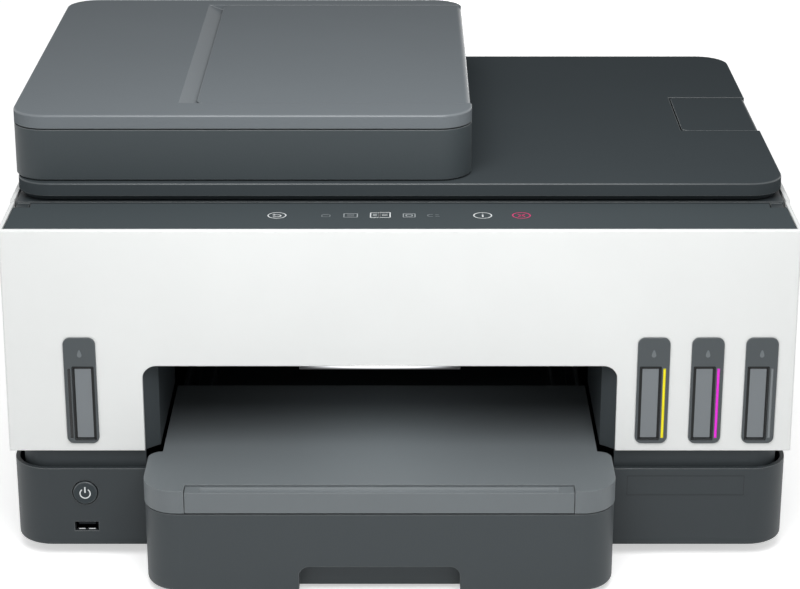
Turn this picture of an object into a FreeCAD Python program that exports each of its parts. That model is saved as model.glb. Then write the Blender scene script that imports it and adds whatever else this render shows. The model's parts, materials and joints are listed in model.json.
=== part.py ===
import FreeCAD, Part
import os
import re
import Sketcher

# Ink-tank printer, scanner and copier with a sheet feeder on its lid.
# Millimetres. X to the right, Y to the back, Z up, table at zero.
doc = FreeCAD.newDocument("printer")
sheet = doc.addObject("Spreadsheet::Sheet", "Sizes")

SIZES = {
    # casing
    "body_width": 450,
    "body_depth": 334,
    "tray_reach": 52,
    "panel_height": 200,
    "panel_depth": 49.2,
    "foot_height": 6.5,
    "shell_bottom": 66.5,
    "wall": 2.5,
    "slip": 0.4,
    "rim": 0.8,
    # base tub and inner frame
    "base_inset": 0.2,
    "base_top": 55.5,
    "base_corner": 22,
    "base_round": 1.5,
    "drawer_round": 3,
    "drawer_drop": 4.2,
    "base_floor": 3.5,
    "skirt_inset": 5.5,
    "skirt_corner": 17,
    "deck": 3,
    # paper bay and trays
    "bay_offset": -11.5,
    "bay_width": 270.6,
    "bay_top": 119,
    "bay_depth": 105,
    "bay_splay": 8,
    "bay_corner": 8,
    "tray_side_gap": 3.5,
    "tray_corner": 20,
    "tray_top": 50.7,
    "tray_length": 262,
    "notch_width": 91,
    "notch_height": 18.2,
    "output_top": 65,
    "extender_width": 217.4,
    "paper_width": 216,
    # ink tanks and their windows
    "tank_bay_gap": 4.925,
    "tank_side_gap": 4.325,
    "tank_spacing": 3.65,
    "bezel_width": 18.3,
    "bezel_height": 65,
    "bezel_bottom": 71.4,
    "tank_headroom": 42,
    # scanner and lid
    "scanner_depth": 36,
    "glass_length": 304.6,
    "glass_width": 228,
    "glass_thickness": 2,
    "lid_gap": 1,
    "lid_thickness": 10.4,
    "lid_inset": 3,
    "lid_start": 51,
    "lid_corner": 20,
    "lid_axis_back": 10,
    "stop_length": 48,
    "stop_width": 73.4,
    # sheet feeder
    "feeder_width": 265.2,
    "feeder_inset": 1.5,
    "feeder_start": 55,
    "feeder_height": 30.8,
    "feeder_corner": 20,
    "cover_gap": 0.8,
    "cover_thickness": 8,
    "flap_length": 160,
    "flap_width": 237.5,
    # print engine and controls
    "button_radius": 7,
    "button_inset": 42.6,
    "button_height": 40.3,
    "carriage_width": 96,
    "roller_radius": 7,
}

for row, (alias, number) in enumerate(SIZES.items(), start=1):
    sheet.set(f"A{row}", alias)
    sheet.set(f"B{row}", str(number))
    sheet.setAlias(f"B{row}", alias)
doc.recompute()

# Named planes and edges, all worked out from the sheet.
half = "(body_width / 2)"
front = "((tray_reach - body_depth) / 2)"
back = "((tray_reach + body_depth) / 2)"
bay_half = "(bay_width / 2)"
bay_left = "(bay_offset - bay_width / 2)"
bay_right = "(bay_offset + bay_width / 2)"
tray_half = "(bay_width / 2 - tray_side_gap)"
drawer_half = "(bay_width / 2 - tray_side_gap - 5.8)"
lid_low = "(panel_height + lid_gap)"
lid_high = "(panel_height + lid_gap + lid_thickness)"
lid_half = "(body_width / 2 - lid_inset)"
feeder_left = "(feeder_inset - body_width / 2)"
feeder_right = "(feeder_inset - body_width / 2 + feeder_width)"
feeder_high = "(panel_height + lid_gap + lid_thickness + feeder_height)"
cover_low = f"({feeder_high} + cover_gap)"
cover_high = f"({feeder_high} + cover_gap + cover_thickness)"
deck_high = "(shell_bottom + wall)"
lid_axis_y = f"({back} - lid_axis_back)"
lid_axis_z = "(panel_height + lid_gap + 3.6)"
rear_step = "(panel_height - 12)"
scanner_bottom = "(panel_height - scanner_depth)"
tank_top = f"({scanner_bottom} - tank_headroom)"
black_place = f"(({bay_left} - {half}) / 2 + 4)"
colour_pitch = f"(({half} - tank_side_gap - {bay_right} - tank_bay_gap) / 3)"
yellow_place = f"({bay_right} + tank_bay_gap + {colour_pitch} / 2)"
magenta_place = f"({yellow_place} + {colour_pitch})"
cyan_place = f"({magenta_place} + {colour_pitch})"
colour_half = f"(({colour_pitch} - tank_spacing) / 2)"
button_place = f"(button_inset - {half})"

NODES = {}


def level(drop):
    return f"({scanner_bottom} - ({drop}))"


def behind(distance):
    return f"({front} + ({distance}))"


def sized(text):
    return re.sub(r"[a-z_]+", lambda m: "Sizes." + m.group(0) if m.group(0) in SIZES else m.group(0), text)


def number_of(text):
    found = sheet.evalExpression(sized(text))
    return float(getattr(found, "Value", found))


def bind(item, path, text):
    item.setExpression(path, sized(text))


def node(label, item):
    item.Label = label
    NODES[label] = item
    return item


# Part level pieces
def place(item, x, y, z):
    for axis, text in zip("xyz", (x, y, z)):
        bind(item, f"Placement.Base.{axis}", text)


def block(name, x, y, z):
    box = doc.addObject("Part::Box", name)
    for side, (low, high) in zip(("Length", "Width", "Height"), (x, y, z)):
        bind(box, side, f"({high}) - ({low})")
    place(box, x[0], y[0], z[0])
    return box


TURNS = {
    "x": FreeCAD.Rotation(FreeCAD.Vector(0, 1, 0), 90),
    "y": FreeCAD.Rotation(FreeCAD.Vector(1, 0, 0), -90),
    "z": FreeCAD.Rotation(),
}


def lay_rod(rod, along, at, span, radius):
    bind(rod, "Radius", radius)
    bind(rod, "Height", f"({span[1]}) - ({span[0]})")
    rod.Placement = FreeCAD.Placement(FreeCAD.Vector(), TURNS[along])
    spots = list(at)
    spots.insert("xyz".index(along), span[0])
    place(rod, *spots)
    return rod


def rod(name, along, at, span, radius):
    return lay_rod(doc.addObject("Part::Cylinder", name), along, at, span, radius)


def join(name, items):
    fused = doc.addObject("Part::MultiFuse", name)
    fused.Shapes = items
    fused.Refine = True
    return fused


def carve(name, base, tools):
    cut = doc.addObject("Part::Cut", name)
    cut.Base = base
    cut.Tool = tools[0] if len(tools) == 1 else join(name + "_tools", tools)
    return cut


def group(name, items):
    held = doc.addObject("Part::Compound", name)
    held.Links = items
    return held


# Sketches: an outline of level and upright lines with rounded corners, or of free corners.
def face_sketch(body, name, plane, offset):
    if body is None:
        sketch = doc.addObject("Sketcher::SketchObject", name)
        turn = 90 if plane == "XZ" else 0
        sketch.Placement = FreeCAD.Placement(FreeCAD.Vector(), FreeCAD.Rotation(FreeCAD.Vector(1, 0, 0), turn))
        bind(sketch, "Placement.Base.y" if plane == "XZ" else "Placement.Base.z", offset)
        return sketch
    sketch = body.newObject("Sketcher::SketchObject", name)
    role = plane + "_Plane"
    sketch.AttachmentSupport = [(next(f for f in body.Origin.OriginFeatures if f.Role == role), "")]
    sketch.MapMode = "FlatFace"
    bind(sketch, "AttachmentOffset.Base.z", f"-({offset})" if plane == "XZ" else offset)
    return sketch


def limit(sketch, text, *terms):
    index = sketch.addConstraint(Sketcher.Constraint(*terms, number_of(text)))
    bind(sketch, f"Constraints[{index}]", text)


def draw_round(sketch, corners, radii):
    count = len(corners)
    points = [FreeCAD.Vector(number_of(u), number_of(v), 0) for u, v in corners]
    rounds = [number_of(r) if r else 0 for r in radii]
    starts, ends, ways = [], [], []
    for i, point in enumerate(points):
        before = points[i - 1] - point
        after = points[(i + 1) % count] - point
        before.normalize()
        after.normalize()
        ends.append(point + before * rounds[i])
        starts.append(point + after * rounds[i])
        ways.append(before + after)
    lines = [sketch.addGeometry(Part.LineSegment(starts[i], ends[(i + 1) % count]),
                                False) for i in range(count)]
    for i in range(count):
        level = abs(points[i].y - points[(i + 1) % count].y) < 1e-6
        sketch.addConstraint(Sketcher.Constraint("Horizontal" if level else "Vertical", lines[i]))
        kind = "DistanceY" if level else "DistanceX"
        limit(sketch, corners[i][1 if level else 0], kind, -1, 1, lines[i], 1)
    for i in range(count):
        if not rounds[i]:
            sketch.addConstraint(Sketcher.Constraint("Coincident", lines[i - 1], 2, lines[i], 1))
            continue
        centre = points[i] + ways[i] * rounds[i]
        out = FreeCAD.Vector(ways[i])
        out.normalize()
        arc = sketch.addGeometry(Part.Arc(ends[i], centre - out * rounds[i], starts[i]), False)
        first = (sketch.Geometry[arc].StartPoint - ends[i]).Length < 1e-6
        sketch.addConstraint(Sketcher.Constraint("Tangent", lines[i - 1], 2, arc, 1 if first else 2))
        sketch.addConstraint(Sketcher.Constraint("Tangent", lines[i], 1, arc, 2 if first else 1))
        limit(sketch, radii[i], "Radius", arc)
    return sketch


def draw_free(sketch, corners):
    points = [FreeCAD.Vector(number_of(u), number_of(v), 0) for u, v in corners]
    count = len(points)
    lines = [sketch.addGeometry(Part.LineSegment(points[i], points[(i + 1) % count]),
                                False) for i in range(count)]
    for i in range(count):
        sketch.addConstraint(Sketcher.Constraint("Coincident", lines[i - 1], 2, lines[i], 1))
    for i, (u, v) in enumerate(corners):
        limit(sketch, u, "DistanceX", -1, 1, lines[i], 1)
        limit(sketch, v, "DistanceY", -1, 1, lines[i], 1)
    return sketch


def rectangle(x, y):
    return [(x[0], y[0]), (x[1], y[0]), (x[1], y[1]), (x[0], y[1])]


# Body level features. A slab stands on XY and grows up; a well goes down from its top.
def new_body(label):
    return node(label, doc.addObject("PartDesign::Body", label))


def pad(body, sketch, length, reverse=False):
    grown = body.newObject("PartDesign::Pad", body.Name + "_pad")
    grown.Profile = sketch
    grown.Reversed = reverse
    bind(grown, "Length", length)
    return grown


def pocket(body, sketch, length):
    dug = body.newObject("PartDesign::Pocket", body.Name + "_pocket")
    dug.Profile = sketch
    bind(dug, "Length", length)
    return dug


def slab(body, x, y, z, radii):
    sketch = face_sketch(body, body.Name + "_plan", "XY", z[0])
    draw_round(sketch, rectangle(x, y), radii)
    return pad(body, sketch, f"({z[1]}) - ({z[0]})")


def well(body, x, y, z, radii):
    sketch = face_sketch(body, body.Name + "_well", "XY", z[1])
    draw_round(sketch, rectangle(x, y), radii)
    return pocket(body, sketch, f"({z[1]}) - ({z[0]})")


def box_feature(kind, body, x, y, z):
    made = body.newObject(f"PartDesign::{kind}Box", body.Name + "_box")
    for side, (low, high) in zip(("Length", "Width", "Height"), (x, y, z)):
        bind(made, side, f"({high}) - ({low})")
    place(made, x[0], y[0], z[0])
    return made


def add_box(body, x, y, z):
    return box_feature("Additive", body, x, y, z)


def cut_box(body, x, y, z):
    return box_feature("Subtractive", body, x, y, z)


def add_rod(body, along, at, span, radius):
    return lay_rod(body.newObject("PartDesign::AdditiveCylinder", body.Name + "_rod"), along, at, span, radius)


def cut_rod(body, along, at, span, radius):
    return lay_rod(body.newObject("PartDesign::SubtractiveCylinder", body.Name + "_bore"), along, at, span,
                   radius)


def edges_of(body, wanted):
    doc.recompute()
    tip = body.Tip
    return tip, [f"Edge{i}" for i, edge in enumerate(tip.Shape.Edges, start=1) if wanted(edge)]


def at_height(text):
    plane = number_of(text)
    return lambda edge: (all(abs(v.Z - plane) < 1e-4 for v in edge.Vertexes)
                         and abs(edge.CenterOfMass.z - plane) < 1e-4)


def soften(body, radius, wanted):
    tip, names = edges_of(body, wanted)
    soft = body.newObject("PartDesign::Fillet", body.Name + "_soft")
    soft.Base = (tip, names)
    bind(soft, "Radius", radius)
    return soft


def bevel(body, size, wanted):
    tip, names = edges_of(body, wanted)
    cut = body.newObject("PartDesign::Chamfer", body.Name + "_bevel")
    cut.Base = (tip, names)
    bind(cut, "Size", size)
    return cut


def prism(name, x, z, y, radius):
    sketch = draw_round(face_sketch(None, name + "_face", "XZ", y[0]), rectangle(x, z), [radius] * 4)
    grown = doc.addObject("Part::Extrusion", name)
    grown.Base = sketch
    grown.DirMode = "Custom"
    grown.Dir = FreeCAD.Vector(0, 1, 0)
    grown.Solid = True
    bind(grown, "LengthFwd", f"({y[1]}) - ({y[0]})")
    return grown


def spread(body, feature, direction, length, count):
    pattern = body.newObject("PartDesign::LinearPattern", body.Name + "_row")
    pattern.Originals = [feature]
    axis = next(f for f in body.Origin.OriginFeatures if f.Role == direction + "_Axis")
    pattern.Direction = (axis, [""])
    bind(pattern, "Length", length)
    pattern.Occurrences = count
    body.Tip = pattern
    return pattern


def both_sides(low, high):
    return ((f"-({high})", f"-({low})"), (low, high))


# Base tub: rounded pan with the drawer bay, runners, floor ribs and sockets
tub = new_body("base_tub")
tub_half = f"({half} - base_inset)"
tub_front = behind("-1")
tub_back = f"({back} - 1)"
slab(tub, (f"-{tub_half}", tub_half), (tub_front, tub_back), ("foot_height", "base_top"), ["base_corner"] * 4)
soften(tub, "base_round", at_height("foot_height"))
well(tub, (f"wall - {tub_half}", f"{tub_half} - wall"), (f"{tub_front} + wall", f"{tub_back} - wall"),
     ("foot_height + base_floor", "base_top"), ["base_corner - wall"] * 4)
tub_floor = "(foot_height + base_floor)"
skirt_half = f"({half} - skirt_inset)"
cut_box(tub, (f"{bay_left} + 2", f"{bay_right} - 2"), (f"{tub_front} - 1", f"{tub_front} + 10"),
        (tub_floor, "base_top + 1"))
for side in (-1, 1):
    low, high = f"{drawer_half} + slip", f"{drawer_half} + slip + 3"
    ends = (f"bay_offset + {low}", f"bay_offset + {high}")
    if side < 0:
        ends = (f"bay_offset - ({high})", f"bay_offset - ({low})")
    add_box(tub, ends, (behind("14"), behind("tray_length + 20")), (tub_floor, f"{tub_floor} + 22"))
cut_rod(tub, "y", (button_place, "button_height"), (f"{tub_front} - 1", behind("4")), "button_radius + 0.6")
usb_x = (f"35.6 - {half}", f"49.6 - {half}")
port_x = (f"{half} - 113", f"{half} - 100")
inlet_x = (f"{half} - 73", f"{half} - 47")
cut_box(tub, usb_x, (f"{tub_front} - 1", behind("4")), ("15.8", "21.6"))
cut_box(tub, inlet_x, (f"{tub_back} - 4", f"{tub_back} + 1"), ("20", "38"))
cut_box(tub, port_x, (f"{tub_back} - 4", f"{tub_back} + 1"), ("21", "33"))
for low, high in both_sides(f"{skirt_half} - 8", f"{tub_half} - 1"):
    for place_y in (behind("120"), f"({back} - 70)"):
        add_box(tub, (low, high), (f"{place_y} - 6", f"{place_y} + 6"),
                (f"{tub_floor} - 0.5", "base_top - 5.5"))
rib = add_box(tub, (f"wall - {tub_half} - 0.5", f"{bay_left} - 6"), (behind("60"), behind("62")),
              (f"{tub_floor} - 0.5", f"{tub_floor} + 14"))
spread(tub, rib, "Y", "220", 5)

# Rubber feet
feet = [rod(f"foot_{i}", "z", (x, y), ("0", "foot_height"), "9")
        for i, (x, y) in enumerate(((f"45 - {half}", behind("45")), (f"{half} - 45", behind("45")),
                                    (f"45 - {half}", f"{back} - 45"), (f"{half} - 45", f"{back} - 45")))]
node("rubber_feet", group("feet_group", feet))

# Inner frame: skirt, deck, splayed bay liner, posts for scanner, rail and rollers
frame = new_body("inner_frame")
slab(frame, (f"-{skirt_half}", skirt_half), (behind("4"), f"{back} - 4"), ("base_top - 5.5", "shell_bottom"),
     ["skirt_corner"] * 4)
well(frame, (f"wall - {skirt_half}", f"{skirt_half} - wall"), (behind("4 + wall"), f"{back} - 4 - wall"),
     ("base_top - 6.5", "shell_bottom - deck"), ["skirt_corner - wall"] * 4)
slab(frame, (f"wall - {half}", f"{half} - wall"), (behind("panel_depth + 1"), f"{back} - wall"),
     ("shell_bottom", deck_high), ["6"] * 4)
cut_box(frame, (bay_left, bay_right), (behind("3"), behind("tray_length + 10")),
        ("base_top - 7", f"{deck_high} + 1"))
for side in ("-", "+"):
    edge = f"bay_offset {side} {bay_half}"
    inward = "+" if side == "-" else "-"
    outward = side
    line = [(f"{edge} {outward} 1", behind("4")), (edge, behind("4")),
            (f"{edge} {inward} bay_splay", behind("11")), (f"{edge} {inward} bay_splay", behind("bay_depth")),
            (f"{edge} {inward} (bay_splay - wall)", behind("bay_depth")),
            (f"{edge} {inward} (bay_splay - wall)", behind("12.5")), (f"{edge} {outward} 1", behind("7"))]
    plan = draw_free(face_sketch(frame, "liner_plan", "XY", "shell_bottom - 1"), line)
    pad(frame, plan, "bay_top + 1.5 - shell_bottom")
    foot_x = (f"{edge} - 3", f"{edge} + bay_splay") if side == "-" else (f"{edge} - bay_splay", f"{edge} + 3")
    add_box(frame, foot_x, (behind("30"), behind("bay_depth")), ("shell_bottom - 1", "shell_bottom + 1.5"))
add_box(frame, (f"{bay_left} - 1", f"{bay_right} + 1"), (behind("4"), behind("bay_depth")),
        ("bay_top", "bay_top + wall"))
for low, high in both_sides(f"{half} - 22", f"{half} - 8"):
    add_box(frame, (low, high), (behind("98"), behind("106")), ("shell_bottom", scanner_bottom))
    add_box(frame, (low, high), (f"{back} - 44", f"{back} - 30"), ("shell_bottom", scanner_bottom))
for low, high in both_sides(f"{half} - 15", f"{half} - 9"):
    add_box(frame, (low, high), (behind("170"), behind("178")), ("shell_bottom", level("42")))
for low, high in both_sides(f"{half} - 29", f"{half} - 23"):
    add_box(frame, (low, high), (behind("163"), behind("177")), ("shell_bottom", level("60")))
    add_box(frame, (low, high), (behind("107.5"), behind("117.5")), ("shell_bottom", level("62")))
cut_rod(frame, "x", (behind("170"), level("68")), (f"-{half}", half), "3.05")
cut_rod(frame, "x", (behind("112.5"), level("68")), (f"-{half}", half), "2.55")

# White side panels with a rear return and a lowered rear top for the lid to swing past
for label, sign in (("side_panel_left", "-"), ("side_panel_right", "+")):
    panel = new_body(label)
    def span(outer, inner, sign=sign):
        return (f"-({outer})", f"-({inner})") if sign == "-" else (inner, outer)
    add_box(panel, span(half, f"{half} - wall"), (behind("panel_depth + 0.8"), back),
            ("shell_bottom", "panel_height + rim"))
    add_box(panel, span(f"{half} - 0.5", f"{half} - 60"), (f"{back} - wall", back), ("shell_bottom", rear_step))
    cut_box(panel, span(f"{half} + 1", f"{half} - wall - 1"), (f"{back} - 26", f"{back} + 1"),
            (rear_step, "panel_height + rim + 1"))
    cut_box(panel, span(f"{half} + 1", f"{half} - wall - 1"),
            (behind("panel_depth"), behind("panel_depth + 3.2")),
            ("panel_height - 9", "panel_height + rim + 1"))
    outer = number_of(half)
    soften(panel, "2", lambda e, o=outer: all(abs(abs(v.X) - o) < 1e-3 for v in e.Vertexes)
           and abs(e.CenterOfMass.y - number_of(back)) < 1e-3)

# Rear cover with a vent row, a shelf behind the scanner and a recessed pull
rear = new_body("rear_cover")
add_box(rear, (f"60 + slip - {half}", f"{half} - 60 - slip"), (f"{back} - wall", back),
        ("base_top + 1", rear_step))
add_box(rear, (f"wall - {half}", f"{half} - wall"), (f"{back} - 17.5", f"{back} - wall"),
        (f"{rear_step} - wall", rear_step))
vent = cut_box(rear, ("-120", "-116"), (f"{back} - 3", f"{back} + 1"),
               (f"{rear_step} - 46", f"{rear_step} - 14"))
spread(rear, vent, "X", "240", 21)
cut_box(rear, ("-60", "60"), (f"{back} - 1.2", f"{back} + 1"), ("88", "112"))

# Scanner bed: hollow box with glass rebates and two ears for the front door pivots
bed_half = f"({half} - lid_inset - 0.5)"
bed = (behind("lid_start + 1"), f"{back} - 18")
glass_x = "(12.5 - glass_length / 2)"
glass_y = "((lid_start + 1 + body_depth - 18 - glass_width) / 2)"
main_x = (glass_x, f"{glass_x} + glass_length")
main_y = (behind(glass_y), behind(f"{glass_y} + glass_width"))
strip_x = (f"{glass_x} - 36", f"{glass_x} - 12")
glass_low = "(panel_height - glass_thickness)"
parts = [block("bed_outer", (f"-{bed_half}", bed_half), bed, (scanner_bottom, "panel_height"))]
parts += [block(f"bed_ear_{i}", ends, (behind("44"), behind("lid_start + 2")),
                ("panel_height - 6.5", "panel_height - 1"))
          for i, ends in enumerate(both_sides(f"{half} - 11.5", f"{half} - 4.5"))]
tools = [block("bed_inner", (f"wall + 1 - {bed_half}", f"{bed_half} - wall - 1"),
               (behind("lid_start + 4"), f"{back} - 21"), (f"{scanner_bottom} + wall", "panel_height - 3.4"))]
for name, ends in (("main", main_x), ("strip", strip_x)):
    tools.append(block(f"rebate_{name}", ends, main_y, (glass_low, "panel_height + 1")))
    tools.append(block(f"light_{name}", (f"{ends[0]} + 4", f"{ends[1]} - 4"),
                       (behind(f"{glass_y} + 5"), behind(f"{glass_y} + glass_width - 5")),
                       ("panel_height - 6", "panel_height")))
tools.append(rod("ear_bore", "x", (behind("46.5"), "panel_height - 3.5"), (f"-{half}", half), "1.3"))
node("scanner_bed", carve("bed_cut", join("bed_whole", parts), tools))
node("scanner_glass", group("glasses", [block("glass_main", main_x, main_y, (glass_low, "panel_height")),
                                        block("glass_strip", strip_x, main_y, (glass_low, "panel_height"))]))

# Scan bar on its rail
rail_y, rail_z = behind("188"), f"{scanner_bottom} + 11"
node("scan_rail", rod("scan_rod", "x", (rail_y, rail_z), (f"wall + 1 - {bed_half}",
                                                          f"{bed_half} - wall - 1"), "3"))
bar_x = f"({glass_x} - 32)"
bar = [block("bar_top", (bar_x, f"{bar_x} + 16"), (behind(glass_y), behind(f"{glass_y} + glass_width")),
             (f"{scanner_bottom} + 18", "panel_height - 3.8")),
       block("bar_shoe", (f"{bar_x} - 2", f"{bar_x} + 18"), (behind("176"), behind("200")),
             (f"{scanner_bottom} + 5", f"{scanner_bottom} + 19"))]
slot = block("bar_slot", (f"{bar_x} + 6", f"{bar_x} + 10"),
             (behind(f"{glass_y} + 4"), behind(f"{glass_y} + glass_width - 4")),
             ("panel_height - 6", "panel_height"))
bore = rod("bar_bore", "x", (rail_y, rail_z), (f"{bar_x} - 5", f"{bar_x} + 25"), "3.05")
node("scan_bar", carve("bar_cut", join("bar_whole", bar), [slot, bore]))

# Front door: white fascia with the paper bay and four windows, panel shelf on top
door = new_body("front_door")
door_high = "(panel_height + rim)"
face = draw_free(face_sketch(door, "door_face", "XZ", front),
                 [(f"-{half}", "shell_bottom"), (half, "shell_bottom"), (f"{half} - 1", door_high),
                  (f"1 - {half}", door_high)])
pad(door, face, "panel_depth", True)
hollow = draw_free(face_sketch(door, "door_hollow", "XZ", behind("3")),
                   [(f"wall - {half}", "shell_bottom - 1"), (f"{half} - wall", "shell_bottom - 1"),
                    (f"{half} - wall - 1", "panel_height - 5.5"), (f"1 + wall - {half}", "panel_height - 5.5")])
pocket(door, hollow, "panel_depth")
mouth = draw_round(face_sketch(door, "door_mouth", "XZ", f"{front} - 1"),
                   rectangle((bay_left, bay_right), ("shell_bottom - 5", "bay_top")),
                   [None, None, "bay_corner", "bay_corner"])
pocket(door, mouth, "6")
cut_box(door, (f"wall + 0.6 - {half}", f"{half} - wall - 0.6"), (behind("2"), behind("panel_depth + 1")),
        ("panel_height - 2.5", "panel_height + rim + 1"))
for ends in both_sides(f"{half} - 12.5", f"{half} - 3.4"):
    cut_box(door, ends, (behind("42.2"), behind("panel_depth + 1")), ("panel_height - 10", "panel_height + 2"))
window_x = [black_place, yellow_place, magenta_place, cyan_place]
bezel_z = ("bezel_bottom", "bezel_bottom + bezel_height")
for middle in window_x:
    hole = draw_round(face_sketch(door, "door_window", "XZ", f"{front} - 1"),
                      rectangle((f"{middle} - bezel_width / 2", f"{middle} + bezel_width / 2"), bezel_z),
                      ["4"] * 4)
    pocket(door, hole, "6")
front_y = number_of(front)
soften(door, "1.2", lambda e: all(abs(v.Y - front_y) < 1e-3 for v in e.Vertexes)
       and abs(e.CenterOfMass.y - front_y) < 1e-3 and e.BoundBox.YLength < 1e-3
       and (e.BoundBox.ZLength > 100 or abs(e.CenterOfMass.z - number_of(door_high)) < 1e-3))
pins = [rod(f"door_pin_{i}", "x", (behind("46.5"), "panel_height - 3.5"), ends, "1.25")
        for i, ends in enumerate(both_sides(f"{half} - 12", f"{half} - 3.4"))]
node("door_pins", group("door_pin_group", pins))

# Control panel plate, notched round the pivots
plate = block("panel_plate", (f"wall + 0.9 - {half}", f"{half} - wall - 0.9"),
              (behind("2.3"), behind("panel_depth")),
              ("panel_height - 2.5", "panel_height"))
node("control_panel", carve("panel_cut", plate, [
    block(f"panel_notch_{i}", ends, (behind("41.9"), behind("panel_depth + 1")),
          ("panel_height - 4", "panel_height + 1"))
    for i, ends in enumerate(both_sides(f"{half} - 12.8", half))]))

# Ink windows: bezel, grey level window and the coloured strip beside it
strip_side = {"black": "-", "yellow": "+", "magenta": "+", "cyan": "+"}
bezels, lenses = [], []
for ink, middle in zip(strip_side, window_x):
    sign = strip_side[ink]
    centre = f"({middle} {'+' if sign == '-' else '-'} 1.5)"
    shape = prism(f"bezel_{ink}", (f"{middle} - bezel_width / 2", f"{middle} + bezel_width / 2"), bezel_z,
                  (f"{front} - 0.8", behind("4")), "4")
    lens_z = ("bezel_bottom + 3.2", "bezel_bottom + 46.4")
    lens_x = (f"{centre} - 5", f"{centre} + 5")
    strip_at = f"({middle} {sign} 6.4)"
    strip_x2 = (f"{strip_at} - 0.8", f"{strip_at} + 0.8")
    seat = block(f"seat_{ink}", (f"{lens_x[0]} - 0.6", f"{lens_x[1]} + 0.6"), (f"{front} - 2", behind("1")),
                 (f"{lens_z[0]} - 0.6", f"{lens_z[1]} + 0.6"))
    sight = block(f"sight_{ink}", lens_x, (f"{front} - 2", behind("6")), lens_z)
    slit = block(f"slit_{ink}", strip_x2, (f"{front} - 2", behind("1.2")), lens_z)
    bezels.append(carve(f"bezel_cut_{ink}", shape, [seat, sight, slit]))
    lenses.append(block(f"lens_{ink}", lens_x, (f"{front} - 0.2", behind("4")), lens_z))
    node(f"level_strip_{ink}", block(f"strip_{ink}", strip_x2, (f"{front} - 0.5", behind("1.2")), lens_z))
node("window_bezels", group("bezel_group", bezels))
node("level_windows", group("lens_group", lenses))

# Ink tanks with filler necks and hinged caps
wide = {"black": (f"12.1 - {half}", f"{bay_left} - 6.6"), "yellow": None, "magenta": None, "cyan": None}
for ink, middle in zip(wide, window_x):
    ends = wide[ink] or (f"{middle} - {colour_half}", f"{middle} + {colour_half}")
    outer = block(f"tank_outer_{ink}", ends, (behind("8"), behind("92")), (deck_high, tank_top))
    neck = rod(f"neck_{ink}", "z", (middle, behind("24")), (f"{tank_top} - 3", f"{tank_top} + 6"), "7")
    lug = block(f"lug_{ink}", (f"{middle} - 4", f"{middle} + 4"), (behind("35.5"), behind("40.5")),
                (f"{tank_top} - 2", f"{tank_top} + 8"))
    pin = rod(f"cap_pin_{ink}", "x", (behind("38"), f"{tank_top} + 7"), (f"{middle} - 8.5", f"{middle} + 8.5"),
              "1.2")
    inner = block(f"tank_inner_{ink}", (f"{ends[0]} + 1.6", f"{ends[1]} - 1.6"),
                  (behind("9.6"), behind("90.4")),
                  (f"{deck_high} + 1.6", f"{tank_top} - 1.6"))
    mouth_bore = rod(f"mouth_{ink}", "z", (middle, behind("24")), (f"{tank_top} - 4", f"{tank_top} + 8"), "5")
    node(f"ink_tank_{ink}", carve(f"tank_{ink}", join(f"tank_whole_{ink}", [outer, neck, lug, pin]), [inner,
            mouth_bore]))
    lidlet = [block(f"cap_top_{ink}", (f"{middle} - 9", f"{middle} + 9"), (behind("13"), behind("35")),
                    (f"{tank_top} + 6.2", f"{tank_top} + 10.2"))]
    for side in ("-", "+"):
        near, far = f"{middle} {side} 4.4", f"{middle} {side} 9"
        arm = (far, near) if side == "-" else (near, far)
        lidlet.append(block(f"cap_arm_{ink}_{'a' if side == '-' else 'b'}", arm, (behind("34"), behind("41")),
                            (f"{tank_top} + 4.4", f"{tank_top} + 10.2")))
    cap_bore = rod(f"cap_bore_{ink}", "x", (behind("38"), f"{tank_top} + 7"),
                   (f"{middle} - 12", f"{middle} + 12"), "1.25")
    node(f"tank_cap_{ink}", carve(f"cap_{ink}", join(f"cap_whole_{ink}", lidlet), [cap_bore]))

# Paper drawer: rounded front block with finger notch, long tray with floor grooves
drawer = new_body("paper_tray")
def about_bay(distance):
    return (f"bay_offset - ({distance})", f"bay_offset + ({distance})")
slab(drawer, about_bay(f"{tray_half} + 0.8"), (behind("-tray_reach"), behind("-2")),
     ("foot_height - drawer_drop", "tray_top"), ["tray_corner", "tray_corner", "3", "3"])
soften(drawer, "drawer_round", at_height("foot_height - drawer_drop"))
add_box(drawer, about_bay(drawer_half), (behind("-30"), behind("tray_length")),
        (f"{tub_floor} + slip", "tray_top - 5"))
well(drawer, about_bay(f"{drawer_half} - wall"), (behind("14 - tray_reach"), behind("tray_length - wall")),
     (f"{tub_floor} + slip + wall", "tray_top"), ["3"] * 4)
notch = draw_round(face_sketch(drawer, "notch_face", "XZ", behind("-tray_reach - 1")),
                   rectangle(about_bay("notch_width / 2"), ("foot_height - drawer_drop - 2", "notch_height")),
                   [None, None, "6", "6"])
pocket(drawer, notch, "11")
drawer_floor = f"({tub_floor} + slip + wall)"
groove = cut_box(drawer, about_bay("100"), (behind("80"), behind("84")),
                 (f"{drawer_floor} - 1.2", f"{drawer_floor} + 1"))
spread(drawer, groove, "Y", "120", 4)

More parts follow.
